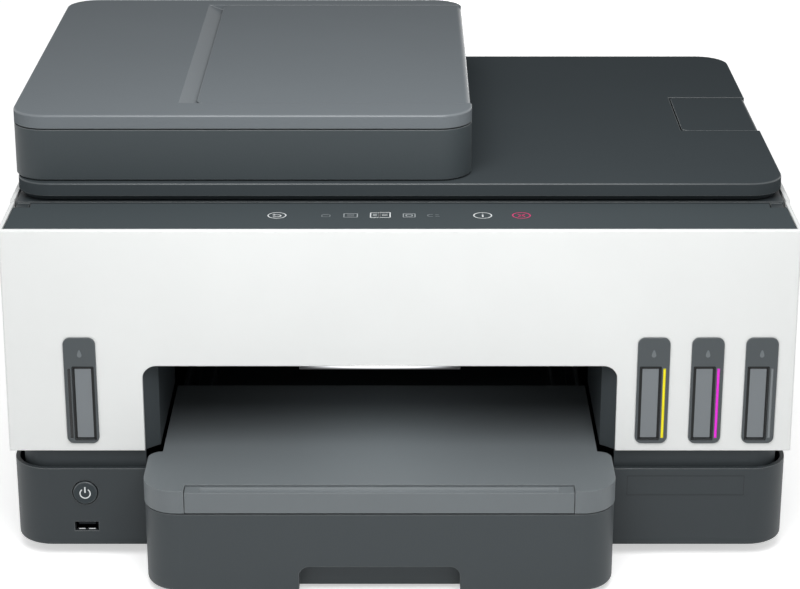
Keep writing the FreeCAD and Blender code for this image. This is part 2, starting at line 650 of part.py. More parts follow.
# Output tray lid on the drawer: rounded front, channel for the extender
lid_tray = new_body("output_tray")
slab(lid_tray, about_bay(f"{tray_half} + 1.2"), (behind("-tray_reach"), behind("2")),
     ("tray_top", "output_top"),
     ["tray_corner", "tray_corner", "8", "8"])
add_box(lid_tray, about_bay(f"{tray_half} - 6.5"), (behind("-6"), behind("bay_depth - 5")),
        ("tray_top + 1", "output_top"))
bevel(lid_tray, "0.9", at_height("tray_top"))
ext_half = "(extender_width / 2 + slip)"
cut_box(lid_tray, about_bay(ext_half), (behind("-tray_reach - 1"), behind("bay_depth - 10")),
        ("tray_top + 5", "output_top - 2.5"))
cut_box(lid_tray, about_bay(f"{ext_half} - 6"), (behind("-tray_reach - 1"), behind("bay_depth - 10")),
        ("tray_top - 1", "tray_top + 6"))
cut_box(lid_tray, about_bay(ext_half), (behind("-tray_reach - 1"), behind("9 - tray_reach")),
        ("tray_top - 1", "output_top + 1"))

# Extender with its front lip
lip = [block("ext_plate", about_bay("extender_width / 2"), (behind("8 - tray_reach"), behind("bay_depth - 16")),
             ("tray_top + 5.3", "output_top - 3")),
       block("ext_lip", about_bay("extender_width / 2"), (behind("-tray_reach"), behind("8.6 - tray_reach")),
             ("tray_top + 0.9", "output_top - 1"))]
scoop = rod("ext_scoop", "x", (behind("4.6 - tray_reach"), "output_top + 1.4"),
            about_bay("extender_width / 2 - 8"), "3.4")
node("output_extender", carve("ext_cut", join("ext_whole", lip), [scoop]))

# Paper guides inside the drawer
for label, sign in (("paper_guide_left", "-"), ("paper_guide_right", "+")):
    edge = f"(bay_offset {sign} paper_width / 2)"
    inner = "+" if sign == "-" else "-"
    def ordered(a, b, sign=sign):
        return (a, b) if sign == "-" else (b, a)
    wall_x = ordered(f"{edge} - 2" if sign == "-" else f"{edge} + 2", edge)
    foot_x = ordered(edge, f"{edge} {inner} 34")
    low = f"{drawer_floor} + 0.3"
    bits = [block(f"{label}_wall", wall_x, (behind("90"), behind("190")), (low, "tray_top - 6")),
            block(f"{label}_foot", foot_x, (behind("120"), behind("160")), (low, f"{low} + 2")),
            block(f"{label}_grip", ordered(f"{edge} {inner} 8", f"{edge} {inner} 20"),
                  (behind("128"), behind("132")), (low, f"{low} + 9"))]
    node(label, join(f"{label}_whole", bits))
low = f"{drawer_floor} + 0.3"
node("length_guide", join("length_whole", [
    block("length_wall", about_bay("28"), (behind("-28"), behind("-25.5")), (low, "tray_top - 6")),
    block("length_foot", about_bay("12"), (behind("-26"), behind("20")), (low, f"{low} + 2"))]))

# Scanner lid with underside recess, hinge notches and the pocket for the paper stop
lid = new_body("scanner_lid")
slab(lid, (f"-{lid_half}", lid_half), (behind("lid_start"), back), (lid_low, lid_high), ["lid_corner"] * 4)
bevel(lid, "3", at_height(lid_low))
soften(lid, "0.8", at_height(lid_high))
pad_x = (f"{glass_x} - 2", f"{glass_x} + glass_length + 2")
pad_y = (behind(f"{glass_y} - 2"), behind(f"{glass_y} + glass_width + 2"))
well(lid, pad_x, pad_y, (f"{lid_low} - 1", f"{lid_low} + 2"), [None] * 4)
hinge_x = "(body_width / 2 - 75)"
for low, high in both_sides(f"{hinge_x} - 9", f"{hinge_x} + 9"):
    cut_box(lid, (low, high), (f"{lid_axis_y} - 11", f"{back} + 1"), (f"{lid_low} - 1", f"{lid_axis_z} + 4.8"))
    cut_rod(lid, "x", (lid_axis_y, lid_axis_z), (f"{low} - 5", f"{high} + 5"), "2.05")
stop_y = (behind("157.2"), behind("157.2 + stop_width"))
stop_x = f"({lid_half} - 3)"
stop_z = f"({lid_high} - 2.5)"
stop_left = f"({lid_half} - stop_length)"
cut_box(lid, (f"{stop_left} - 1", f"{stop_x} - 1"), (f"{stop_y[0]} - slip", f"{stop_y[1]} + slip"),
        (f"{lid_high} - 3.4", f"{lid_high} + 1"))
cut_box(lid, (f"{stop_x} - 3.4", f"{lid_half} + 1"), (f"{stop_y[0]} - slip", f"{stop_y[1]} + slip"),
        (f"{stop_z} - 2.9", f"{lid_high} + 1"))
cut_rod(lid, "y", (stop_x, stop_z), (f"{stop_y[0]} - 4", f"{stop_y[1]} + 4"), "1.05")
node("lid_pad", block("pad_sheet", (f"{pad_x[0]} + 0.3", f"{pad_x[1]} - 0.3"), (f"{pad_y[0]} + 0.3",
                                                                                f"{pad_y[1]} - 0.3"),
                      ("panel_height + 0.3", f"{lid_low} + 2")))

# Paper stop flap with its barrel and trunnions
stop = new_body("paper_stop")
slab(stop, (stop_left, stop_x), stop_y, (f"{lid_high} - 3", f"{lid_high} - 0.1"), ["5", None, None, "5"])
add_rod(stop, "y", (stop_x, stop_z), stop_y, "2.4")
add_rod(stop, "y", (stop_x, stop_z), (f"{stop_y[0]} - 3.7", f"{stop_y[1]} + 3.7"), "1")

# Lid hinge brackets standing on the rear shelf
brackets = []
for i, middle in enumerate((f"(0 - {hinge_x})", hinge_x)):
    ends = (f"{middle} - 6.5", f"{middle} + 6.5")
    brackets.append(join(f"bracket_{i}", [
        block(f"bracket_leg_{i}", ends, (f"{lid_axis_y} - 4", f"{lid_axis_y} + 4"), (rear_step, lid_axis_z)),
        rod(f"bracket_eye_{i}", "x", (lid_axis_y, lid_axis_z), ends, "4"),
        rod(f"bracket_pin_{i}", "x", (lid_axis_y, lid_axis_z), (f"{middle} - 13.7", f"{middle} + 13.7"), "2")]))
node("lid_hinge_brackets", group("bracket_group", brackets))

# Sheet feeder body on the lid
feeder = new_body("feeder_body")
feeder_y = (behind("feeder_start"), back)
slab(feeder, (feeder_left, feeder_right), feeder_y, (lid_high, feeder_high), ["feeder_corner"] * 4)
bevel(feeder, "1.2", at_height(lid_high))
well(feeder, (f"{feeder_left} + wall", f"{feeder_right} - wall"),
     (f"{feeder_y[0]} + wall", f"{feeder_y[1]} - wall"),
     (f"{lid_high} + 3", feeder_high), ["feeder_corner - wall"] * 4)
flap_left = f"({feeder_right} - flap_length)"
flap_y = (behind("feeder_start + 25.7"), behind("feeder_start + 25.7 + flap_width"))
bed_high = f"({lid_high} + 17.6)"
add_box(feeder, (f"{flap_left} - 10", f"{feeder_right} - wall"), flap_y, (f"{bed_high} - 3", bed_high))
add_box(feeder, (f"{flap_left} + 20", f"{flap_left} + 90"), (f"{feeder_y[0]} + 1", f"{feeder_y[1]} - 1"),
        (f"{bed_high} - 3", f"{bed_high} - 0.6"))
cut_box(feeder, (f"{feeder_right} - 4", f"{feeder_right} + 1"), (f"{flap_y[0]} + 6", f"{flap_y[1]} - 6"),
        (f"{lid_high} + 3", f"{lid_high} + 11"))
cut_box(feeder, (f"{feeder_right} - 4", f"{feeder_right} + 1"), (f"{flap_y[0]} + 3", f"{flap_y[1]} - 3"),
        (bed_high, f"{feeder_high} + 1"))
ear_y = [behind("feeder_start + 45"), f"({back} - 45)"]
ear_axis = (f"{feeder_left} + 1.3", f"{cover_low} + 1.3")
for middle in ear_y:
    add_box(feeder, (feeder_left, f"{feeder_left} + 2.6"), (f"{middle} - 6", f"{middle} + 6"),
            (f"{feeder_high} - 3", f"{cover_low} + 1.3"))
    add_rod(feeder, "y", ear_axis, (f"{middle} - 6", f"{middle} + 6"), "1.3")
    cut_rod(feeder, "y", ear_axis, (f"{middle} - 7", f"{middle} + 7"), "0.75")

# Feeder cover: C shaped frame with the sloped finger groove beside the input tray
cover = new_body("feeder_cover")
slab(cover, (feeder_left, feeder_right), feeder_y, (cover_low, cover_high), ["feeder_corner"] * 4)
soften(cover, "1.2", at_height(cover_high))
well(cover, (f"{feeder_left} + wall + 1", f"{flap_left} - 16"),
     (f"{feeder_y[0]} + wall", f"{feeder_y[1]} - wall"),
     (f"{cover_low} - 1", f"{cover_high} - 2.5"), ["feeder_corner - wall - 1", "3", "3",
                                                   "feeder_corner - wall - 1"])
cut_box(cover, (f"{flap_left} - slip", f"{feeder_right} + 1"), (f"{flap_y[0]} - slip", f"{flap_y[1]} + slip"),
        (f"{cover_low} - 1", f"{cover_high} + 1"))
wedge = draw_free(face_sketch(cover, "cover_wedge", "XZ", f"{flap_y[0]} - slip"),
                  [(f"{flap_left} - 11", f"{cover_high} + 0.3"), (f"{flap_left} + 0.5", f"{cover_high} + 0.3"),
                   (f"{flap_left} + 0.5", f"{cover_high} - 4")])
pocket(cover, wedge, "flap_width + 2 * slip")
for middle in ear_y:
    cut_box(cover, (f"{feeder_left} - 1", f"{feeder_left} + 3.4"), (f"{middle} - 6.3", f"{middle} + 6.3"),
            (f"{cover_low} - 1", f"{cover_low} + 3.2"))
    add_rod(cover, "y", ear_axis, (f"{middle} - 7.5", f"{middle} + 7.5"), "0.7")
flap_axis = (f"{feeder_right} - 4.2", f"{cover_low} + 3.8")
cut_rod(cover, "y", flap_axis, (f"{flap_y[0]} - 5", f"{flap_y[1]} + 5"), "1.55")

# Input tray flap let into the cover
tray_flap = new_body("input_tray_flap")
slab(tray_flap, (flap_left, f"{feeder_right} - 4.2"), flap_y, (f"{cover_high} - 4.2", f"{cover_high} - 0.4"),
     ["7", None, None, "7"])
add_rod(tray_flap, "y", flap_axis, flap_y, "3.8")
add_rod(tray_flap, "y", flap_axis, (f"{flap_y[0]} - 4.5", f"{flap_y[1]} + 4.5"), "1.5")
flap_rib = add_box(tray_flap, (f"{flap_left} + 12", f"{feeder_right} - 14"),
                   (f"{flap_y[0]} + 20", f"{flap_y[0]} + 21.6"),
                   (f"{cover_high} - 6", f"{cover_high} - 4"))
spread(tray_flap, flap_rib, "Y", "196", 5)

# Feeder roller and sheet guides
roller_at = (f"{flap_left} - 42", f"{lid_high} + 17")
node("feeder_roller", join("feeder_roller_whole", [
    rod("feeder_shaft", "y", roller_at, (f"{feeder_y[0]} + wall + 0.2", f"{feeder_y[1]} - wall - 0.2"), "3")]
    + [rod(f"feeder_tyre_{i}", "y", roller_at, (behind(f"{90 + 52 * i}"), behind(f"{120 + 52 * i}")),
           "9") for i in range(5)]))
sheet_mid = f"(({flap_y[0]} + {flap_y[1]}) / 2)"
for label, sign in (("sheet_guide_front", "-"), ("sheet_guide_back", "+")):
    edge = f"({sheet_mid} {sign} paper_width / 2)"
    inner = "+" if sign == "-" else "-"
    pair = (f"{edge} - 2.5", edge) if sign == "-" else (edge, f"{edge} + 2.5")
    foot = (edge, f"{edge} + 20") if sign == "-" else (f"{edge} - 20", edge)
    node(label, join(f"{label}_whole", [
        block(f"{label}_wall", (f"{flap_left} + 50", f"{flap_left} + 130"), pair,
              (f"{bed_high} + 0.3", f"{bed_high} + 11")),
        block(f"{label}_foot", (f"{flap_left} + 60", f"{flap_left} + 120"), foot,
              (f"{bed_high} + 0.3", f"{bed_high} + 2"))]))

# Print carriage with two printheads on its rail
park = "(body_width / 2 - 37)"
car_x = (f"{park} - carriage_width", park)
node("carriage_rail", join("rail_whole", [
    block("rail_bar", (f"9 - {half}", f"{half} - 9"), (behind("170"), behind("178")), (level("42"), level("30"))),
    block("rail_flange", (f"9 - {half}", f"{half} - 9"), (behind("178"), behind("190")),
          (level("42"), level("40")))]))
shell = [block("car_box", car_x, (behind("116"), behind("166")), (level("56"), level("14"))),
         block("car_hook", (f"{car_x[0]} + 8", f"{car_x[1]} - 8"), (behind("164"), behind("182")),
               (level("29.7"), level("22"))),
         block("car_lip", (f"{car_x[0]} + 8", f"{car_x[1]} - 8"), (behind("178.3"), behind("182")),
               (level("37"), level("24")))]
heads, bays = [], []
for label, low in (("black", f"{car_x[0]} + 5"), ("colour", f"{car_x[0]} + carriage_width / 2 + 2")):
    ends = (low, f"{low} + carriage_width / 2 - 7")
    bays.append(block(f"head_bay_{label}", ends, (behind("120"), behind("160")), (level("57"), level("13"))))
    body_part = block(f"head_body_{label}", ends, (behind("120"), behind("160")), (level("57.5"), level("17")))
    nozzle = block(f"head_nozzle_{label}", (f"{ends[0]} + 10", f"{ends[1]} - 10"),
                   (behind("130"), behind("150")), (level("59"), level("57")))
    node(f"printhead_{label}", join(f"head_{label}", [body_part, nozzle]))
node("carriage", carve("car_cut", join("car_whole", shell), bays))

# Platen with a row of ribs on two legs
platen = new_body("platen")
platen_x = (f"{bay_left} - 13", f"{bay_right} + 13")
add_box(platen, platen_x, (behind("122"), behind("160")), (level("74"), level("67")))
add_box(platen, (platen_x[0], f"{platen_x[0]} + 10"), (behind("122"), behind("160")), (deck_high, level("73")))
add_box(platen, (f"{platen_x[1]} - 10", platen_x[1]), (behind("122"), behind("160")), (deck_high, level("73")))
platen_rib = add_box(platen, (f"{bay_left} + 8", f"{bay_left} + 10"), (behind("124"), behind("158")),
                     (level("68"), level("63")))
spread(platen, platen_rib, "X", "bay_width - 18", 16)

# Rollers
span_x = (f"20 - {half}", f"{half} - 20")
node("feed_roller", join("feed_whole", [
    rod("feed_shaft", "x", (behind("170"), level("68")), span_x, "3"),
    rod("feed_sleeve", "x", (behind("170"), level("68")), (f"34 - {half}", f"{half} - 34"), "roller_radius")]))
node("exit_roller", join("exit_whole", [rod("exit_shaft", "x", (behind("112.5"), level("68")), span_x, "2.5")]
     + [rod(f"exit_tyre_{i}", "x", (behind("112.5"), level("68")),
            (f"bay_offset + {40 * i - 106}", f"bay_offset + {40 * i - 94}"), "5")
        for i in range(6)]))

# Lamp over the bay, button, sockets and main board
node("bay_lamp", block("lamp_bar", about_bay("46"), (behind("5"), behind("10")), ("bay_top - 4", "bay_top")))
button = new_body("power_button")
add_rod(button, "y", (button_place, "button_height"), (f"{front} - 2", behind("3")), "button_radius")
button_y = number_of(f"{front} - 2")
soften(button, "0.6", lambda e: all(abs(v.Y - button_y) < 1e-3 for v in e.Vertexes))
add_rod(button, "y", (button_place, "button_height"), (behind("1.5"), behind("2.7")), "button_radius + 1.6")

usb_outer = block("usb_outer", usb_x, (front, behind("12")), ("15.8", "21.6"))
usb_inner = block("usb_inner", (f"{usb_x[0]} + 0.6", f"{usb_x[1]} - 0.6"),
                  (f"{front} - 2", behind("10")), ("16.4", "21"))
usb_tongue = block("usb_tongue", (f"{usb_x[0]} + 2", f"{usb_x[1]} - 2"),
                   (behind("1"), behind("11")), ("19", "20.6"))
usb_tabs = [block(f"usb_tab_{i}", (f"{usb_x[0]} + {low}", f"{usb_x[0]} + {low + 4.6}"), (front, behind("5")),
                  ("16.2", "17"))
            for i, low in enumerate((1.8, 7.6))]
node("front_usb_port", join("usb_whole", [carve("usb_shell", usb_outer, [usb_inner]), usb_tongue] + usb_tabs))
port_outer = block("port_outer", port_x, (f"{back} - 18", f"{back} - 0.8"), ("21", "33"))
port_inner = block("port_inner", (f"{port_x[0]} + 1", f"{port_x[1]} - 1"), (f"{back} - 15", back), ("22", "32"))
port_tongue = block("port_tongue", (f"{port_x[0]} + 3.5", f"{port_x[1]} - 3.5"),
                    (f"{back} - 17", f"{back} - 4"), ("25", "29"))
node("rear_usb_port", join("port_whole", [carve("port_shell", port_outer, [port_inner]), port_tongue]))
inlet_outer = block("inlet_outer", inlet_x, (f"{back} - 24", f"{back} - 0.8"), ("20", "38"))
inlet_inner = block("inlet_inner", (f"{inlet_x[0]} + 3", f"{inlet_x[1]} - 3"),
                    (f"{back} - 18", back), ("23.5", "34.5"))
inlet_pins = [rod(f"inlet_pin_{i}", "y", (f"{inlet_x[0]} + {offset}", "29"),
                  (f"{back} - 20", f"{back} - 6"), "1.2")
              for i, offset in enumerate((9, 17))]
node("power_inlet", join("inlet_whole", [carve("inlet_shell", inlet_outer, [inlet_inner])] + inlet_pins))

board = [block("board_sheet", (f"25 - {half}", f"115 - {half}"), (behind("200"), behind("288")),
               (f"{deck_high} + 4", f"{deck_high} + 5.6")),
         block("board_chip", (f"50 - {half}", f"74 - {half}"), (behind("230"), behind("254")),
               (f"{deck_high} + 5.5", f"{deck_high} + 8")),
         block("board_plug", (f"84 - {half}", f"108 - {half}"), (behind("270"), behind("282")),
               (f"{deck_high} + 5.5", f"{deck_high} + 15"))]
board += [rod(f"board_leg_{i}", "z", (f"{x} - {half}", behind(y)), (deck_high, f"{deck_high} + 5"), "2.5")
          for i, (x, y) in enumerate(((30, "205"), (66, "205"), (30, "283"), (66, "283")))]
node("main_board", join("board_whole", board))

# Checks, then the files
doc.recompute()
for item in doc.Objects:
    if "Invalid" in item.State or "Error" in item.State:
        raise RuntimeError(f"{item.Name} did not build: {item.State}")
os.makedirs("parts", exist_ok=True)
for label, item in NODES.items():
    shape = item.Shape
    if shape.isNull() or not shape.isValid():
        raise RuntimeError(f"{label} is not a valid solid")
    shape.exportStep(f"parts/{label}.step")
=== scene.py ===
import json
import math

import bpy
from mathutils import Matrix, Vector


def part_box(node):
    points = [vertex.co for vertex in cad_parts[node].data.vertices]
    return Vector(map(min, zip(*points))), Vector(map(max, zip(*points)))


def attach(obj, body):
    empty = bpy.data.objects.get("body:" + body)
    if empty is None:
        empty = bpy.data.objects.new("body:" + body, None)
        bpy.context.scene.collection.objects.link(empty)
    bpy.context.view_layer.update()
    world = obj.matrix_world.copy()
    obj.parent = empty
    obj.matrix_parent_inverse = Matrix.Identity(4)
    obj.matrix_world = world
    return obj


# Looks for the ink-tank printer: moulded plastics, printed marks, and a pale studio.
bl_info = {
    "name": "Ink tank printer looks",
    "version": (1, 0, 0),
    "blender": (4, 5, 0),
    "location": "View3D > Sidebar > Printer",
    "description": "Finishes the packed printer with procedural plastics and printed marks",
    "category": "Object",
}

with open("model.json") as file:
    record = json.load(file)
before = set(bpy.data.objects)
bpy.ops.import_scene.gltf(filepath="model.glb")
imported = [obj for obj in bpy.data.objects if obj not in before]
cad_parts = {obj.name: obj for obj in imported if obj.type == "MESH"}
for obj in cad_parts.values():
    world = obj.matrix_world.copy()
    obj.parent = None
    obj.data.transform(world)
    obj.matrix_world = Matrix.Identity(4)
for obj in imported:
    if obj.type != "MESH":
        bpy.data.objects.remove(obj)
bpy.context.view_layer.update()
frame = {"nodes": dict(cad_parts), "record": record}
NODES = frame["nodes"]


# Inks from left to right, as the windows, strips, tanks and caps are named
INKS = ("black", "yellow", "magenta", "cyan")

# Panel signs in millimetres: their line behind the door's front, and each one's place from the middle
SIGN_LINE = 27.5
SIGN_PLACES = {
    "back": -69.8,
    "paper": -42.0,
    "lined_sheet": -28.0,
    "copy": -11.4,
    "framed_sheet": 5.2,
    "signal": 17.6,
    "help": 46.9,
    "cancel": 68.9,
}

# Windows in millimetres: width, step from the coloured strip, and the gap shade and rim shade drawn round
# each, dark frames painted to stand for the shade in the gap round each window
WINDOW_WIDE = 10.0
WINDOW_STEP = 7.9
GAP_SHADE_LINE = 0.9
GAP_SHADE_GROWTH = 0.2
RIM_SHADE_LINE = 0.7
RIM_SHADE_GROWTH = 1.9

# Contacts in the front socket in millimetres: their starts, length, height and width
CONTACT_STARTS = (2.2, 8.0)
CONTACT_LONG = 3.8
CONTACT_HIGH = 0.85
CONTACT_LINE = 0.6

# Blank plate on the base in millimetres: middle, width, height and line
PLATE_PLACE = (165.2, 44.8)
PLATE_SIZE = (67.5, 12.1)
PLATE_LINE = 0.35

# Drops: step from the strip and fall below the bezel's top in metres, then corners and the curve of the tip
DROP_STEP = 0.0064
DROP_BELOW = 0.0105
DROP_CORNERS = 24
DROP_PEAK = 900000.0
DROP_POWER = 3.0

# Moulded surfaces: noise detail, size of the colour patches, and depth of the grain in metres
FINE_DETAIL = 3.0
PATCH_DETAIL = 4.0
PATCH_SCALE = 14.0
GRAIN_DEPTH = 0.0003

# Worn edges with a painted highlight: samples, the cosine at which an edge is fully worn, the lighter tint
# there (partly wear, partly a painted highlight) and the change in roughness
EDGE_SAMPLES = 4
EDGE_TURN = 0.8
WORN_AND_HIGHLIGHT_TINT = (0.30, 0.31, 0.31, 1.0)
WORN_ROUGHNESS = -0.2

# Shine of plain plastic, roughness of a coat, and how much light the clear finishes let through
SHINE = 0.3
COAT_ROUGHNESS = 0.25
SEE_THROUGH = {"scan_glass": 0.85, "tank_clear": 0.45}
GLASS_INDEX = 1.5

# Bay lamp: depth of its front face and height of the lit lip in metres, and the lip's share of the light
LAMP_SKIN = 0.0002
LAMP_LIP = 0.0028
LAMP_LIP_SHARE = 0.45
LAMP_UNLIT = "#14171a"
LAMP_ROUGHNESS = 0.4

# Floor in metres: reach to each side and drop below the feet, then its roughness
FLOOR_REACH = 6.0
FLOOR_DROP = 0.0005
FLOOR_ROUGHNESS = 0.9

# Camera: place in metres and sensor width in millimetres
CAMERA_PLACE = (0, -1.3974, 0.6355)
SENSOR_WIDE = 36

# Lights: the height that they aim at, then each one's place and width in metres and share of the power
AIM_HEIGHT = 0.12
LIGHTS = {
    "brow": ((0.0, -0.45, 0.65), 0.5, 1.0),
    "left": ((-1.5, 0.1, 0.15), 0.3, 0.6),
    "right": ((1.5, 0.1, 0.15), 0.3, 0.6),
    "rear": ((0.2, 1.6, 0.15), 0.3, 1.0),
}


def linear(code):
    """Turns a colour code into the linear values that Blender's sockets take."""
    parts = [int(code[i:i + 2], 16) / 255 for i in (1, 3, 5)]
    return [p / 12.92 if p <= 0.04045 else ((p + 0.055) / 1.055) ** 2.4 for p in parts] + [1.0]


def colour_setting(label, words, code):
    return bpy.props.FloatVectorProperty(
        name=label, description=words, default=linear(code), size=4, min=0.0, max=1.0, subtype="COLOR")


class PrinterLook(bpy.types.PropertyGroup):
    """Values that the finishing operators share."""

    grain: bpy.props.FloatProperty(
        name="Grain scale", description="How fine the moulded grain is", default=900.0, min=50.0, max=4000.0)
    relief: bpy.props.FloatProperty(
        name="Grain relief", description="How strongly the grain stands out", default=0.12, min=0.0, max=1.0,
        subtype="FACTOR")
    # Edge lightening is partly wear and partly a painted highlight along the edges
    wear: bpy.props.FloatProperty(
        name="Edge wear", description="How much lighter a sharp edge is", default=0.35, min=0.0, max=1.0,
        subtype="FACTOR")
    lift: bpy.props.FloatProperty(
        name="Mark lift", description="Gap between a printed mark and the face under it", default=0.00008,
        min=0.0, max=0.001, subtype="DISTANCE")
    drop_radius: bpy.props.FloatProperty(
        name="Drop radius", description="Size of the round end of each drop mark", default=0.0013,
        min=0.0005, max=0.003, subtype="DISTANCE")
    lamp_strength: bpy.props.FloatProperty(
        name="Lamp strength", description="How brightly the lamp over the paper bay glows", default=11.0,
        min=0.0, max=50.0)
    white_shell: colour_setting("Shell", "Colour of the door and side panels", "#e6e8e7")
    charcoal: colour_setting("Base", "Colour of the base and frame", "#32383b")
    tray_charcoal: colour_setting("Drawer", "Colour of the paper drawer", "#3a4043")
    lid_charcoal: colour_setting("Lid", "Colour of the scanner lid", "#41474a")
    feeder_charcoal: colour_setting("Feeder body", "Colour of the sheet feeder's body", "#3e4548")
    cover_grey: colour_setting("Feeder cover", "Colour of the feeder cover and input flap", "#71777b")
    mid_grey: colour_setting("Output tray", "Colour of the output tray and extender", "#6b7174")


class PrinterStage(bpy.types.PropertyGroup):
    """Values for the floor, lights and camera."""

    lens: bpy.props.FloatProperty(
        name="Lens", description="Focal length of the camera", default=107.5, min=20.0, max=300.0,
        unit="CAMERA")
    pitch: bpy.props.FloatProperty(
        name="Camera pitch", description="How far the camera looks down", default=math.radians(20.63),
        min=math.radians(-10.0), max=math.radians(80.0), subtype="ANGLE")
    key: bpy.props.FloatProperty(
        name="Brow light", description="Power of the light above the front", default=3.8, min=0.0, max=500.0,
        unit="POWER")
    surround: bpy.props.FloatProperty(
        name="Surround", description="Strength of the even light from all sides", default=0.42, min=0.0,
        max=5.0)
    backdrop: bpy.props.FloatProperty(
        name="Backdrop", description="How white the backdrop looks", default=0.97, min=0.0, max=1.0,
        subtype="FACTOR")
    floor_tone: bpy.props.FloatProperty(
        name="Floor tone", description="Grey level of the floor", default=0.97, min=0.0, max=1.0,
        subtype="FACTOR")
    floor_glow: bpy.props.FloatProperty(
        name="Floor glow", description="Paleness added to the floor where it is seen", default=0.52, min=0.0,
        max=1.0, subtype="FACTOR")


# Node helpers
def new_group(name, inputs, outputs):
    group = bpy.data.node_groups.new(name, "ShaderNodeTree")
    for label, kind, value in inputs:
        socket = group.interface.new_socket(name=label, in_out="INPUT", socket_type=kind)
        socket.default_value = value
    for label, kind in outputs:
        group.interface.new_socket(name=label, in_out="OUTPUT", socket_type=kind)
    return group


def add(tree, kind, **settings):
    item = tree.nodes.new(kind)
    for name, value in settings.items():
        setattr(item, name, value)
    return item


def math_of(tree, operation, first, second):
    """Adds one maths node and gives its output; each input is a number or another node's output."""
    item = add(tree, "ShaderNodeMath", operation=operation)
    for k, value in enumerate((first, second)):
        if isinstance(value, float):
            item.inputs[k].default_value = value
        else:
            tree.links.new(value, item.inputs[k])
    return item.outputs[0]


# Grain of a moulded part: colour drift, uneven sheen and a fine height field
def grain_group():
    if "Moulded grain" in bpy.data.node_groups:
        return bpy.data.node_groups["Moulded grain"]
    group = new_group("Moulded grain", [
        ("Colour", "NodeSocketColor", (0.5, 0.5, 0.5, 1.0)),
        ("Sheen", "NodeSocketFloat", 0.5),
        ("Spread", "NodeSocketFloat", 0.08),
        ("Scale", "NodeSocketFloat", 900.0),
        ("Drift", "NodeSocketFloat", 0.06),
    ], [("Colour", "NodeSocketColor"), ("Roughness", "NodeSocketFloat"), ("Height", "NodeSocketFloat")])
    ends = add(group, "NodeGroupInput")
    out = add(group, "NodeGroupOutput")
    place = add(group, "ShaderNodeTexCoord")
    fine = add(group, "ShaderNodeTexNoise")
    fine.inputs["Detail"].default_value = FINE_DETAIL
    broad = add(group, "ShaderNodeTexNoise")
    broad.inputs["Scale"].default_value = PATCH_SCALE
    broad.inputs["Detail"].default_value = PATCH_DETAIL
    link = group.links.new
    link(place.outputs["Object"], fine.inputs["Vector"])
    link(place.outputs["Object"], broad.inputs["Vector"])
    link(ends.outputs["Scale"], fine.inputs["Scale"])
    shift = add(group, "ShaderNodeMath", operation="SUBTRACT")
    shift.inputs[1].default_value = 0.5
    link(broad.outputs["Fac"], shift.inputs[0])
    amount = add(group, "ShaderNodeMath", operation="MULTIPLY_ADD")
    link(shift.outputs[0], amount.inputs[0])
    link(ends.outputs["Drift"], amount.inputs[1])
    amount.inputs[2].default_value = 1.0
    tone = add(group, "ShaderNodeMix", data_type="RGBA", blend_type="MULTIPLY")
    tone.inputs["Factor"].default_value = 1.0
    link(ends.outputs["Colour"], tone.inputs["A"])
    link(amount.outputs[0], tone.inputs["B"])
    rough = add(group, "ShaderNodeMath", operation="MULTIPLY_ADD", use_clamp=True)
    link(shift.outputs[0], rough.inputs[0])
    link(ends.outputs["Spread"], rough.inputs[1])
    link(ends.outputs["Sheen"], rough.inputs[2])
    link(tone.outputs["Result"], out.inputs["Colour"])
    link(rough.outputs[0], out.inputs["Roughness"])
    link(fine.outputs["Fac"], out.inputs["Height"])
    return group


# Edge wear and painted highlight: lighter, smoother corners found from a rounded normal; the lighter tint
# stands partly for wear and partly for a highlight painted along the edges
def wear_and_highlight_group():
    if "Edge wear" in bpy.data.node_groups:
        return bpy.data.node_groups["Edge wear"]
    group = new_group("Edge wear", [
        ("Colour", "NodeSocketColor", (0.5, 0.5, 0.5, 1.0)),
        ("Roughness", "NodeSocketFloat", 0.5),
        ("Amount", "NodeSocketFloat", 0.35),
        ("Radius", "NodeSocketFloat", 0.0008),
    ], [("Colour", "NodeSocketColor"), ("Roughness", "NodeSocketFloat"), ("Normal", "NodeSocketVector")])
    ends = add(group, "NodeGroupInput")
    out = add(group, "NodeGroupOutput")
    soft = add(group, "ShaderNodeBevel", samples=EDGE_SAMPLES)
    flat = add(group, "ShaderNodeNewGeometry")
    link = group.links.new
    link(ends.outputs["Radius"], soft.inputs["Radius"])
    facing = add(group, "ShaderNodeVectorMath", operation="DOT_PRODUCT")
    link(soft.outputs["Normal"], facing.inputs[0])
    link(flat.outputs["Normal"], facing.inputs[1])
    edge = add(group, "ShaderNodeMapRange", clamp=True)
    edge.inputs["From Min"].default_value = 1.0
    edge.inputs["From Max"].default_value = EDGE_TURN
    link(facing.outputs["Value"], edge.inputs["Value"])
    share = add(group, "ShaderNodeMath", operation="MULTIPLY")
    link(edge.outputs["Result"], share.inputs[0])
    link(ends.outputs["Amount"], share.inputs[1])
    tone = add(group, "ShaderNodeMix", data_type="RGBA", blend_type="SCREEN")
    link(share.outputs[0], tone.inputs["Factor"])
    link(ends.outputs["Colour"], tone.inputs["A"])
    # Painted highlight: the pale tint screened onto edges stands partly for wear and partly for light
    # catching the edge
    tone.inputs["B"].default_value = WORN_AND_HIGHLIGHT_TINT
    sheen = add(group, "ShaderNodeMath", operation="MULTIPLY_ADD", use_clamp=True)
    link(share.outputs[0], sheen.inputs[0])
    sheen.inputs[1].default_value = WORN_ROUGHNESS
    link(ends.outputs["Roughness"], sheen.inputs[2])
    link(tone.outputs["Result"], out.inputs["Colour"])
    link(sheen.outputs[0], out.inputs["Roughness"])
    link(soft.outputs["Normal"], out.inputs["Normal"])
    return group
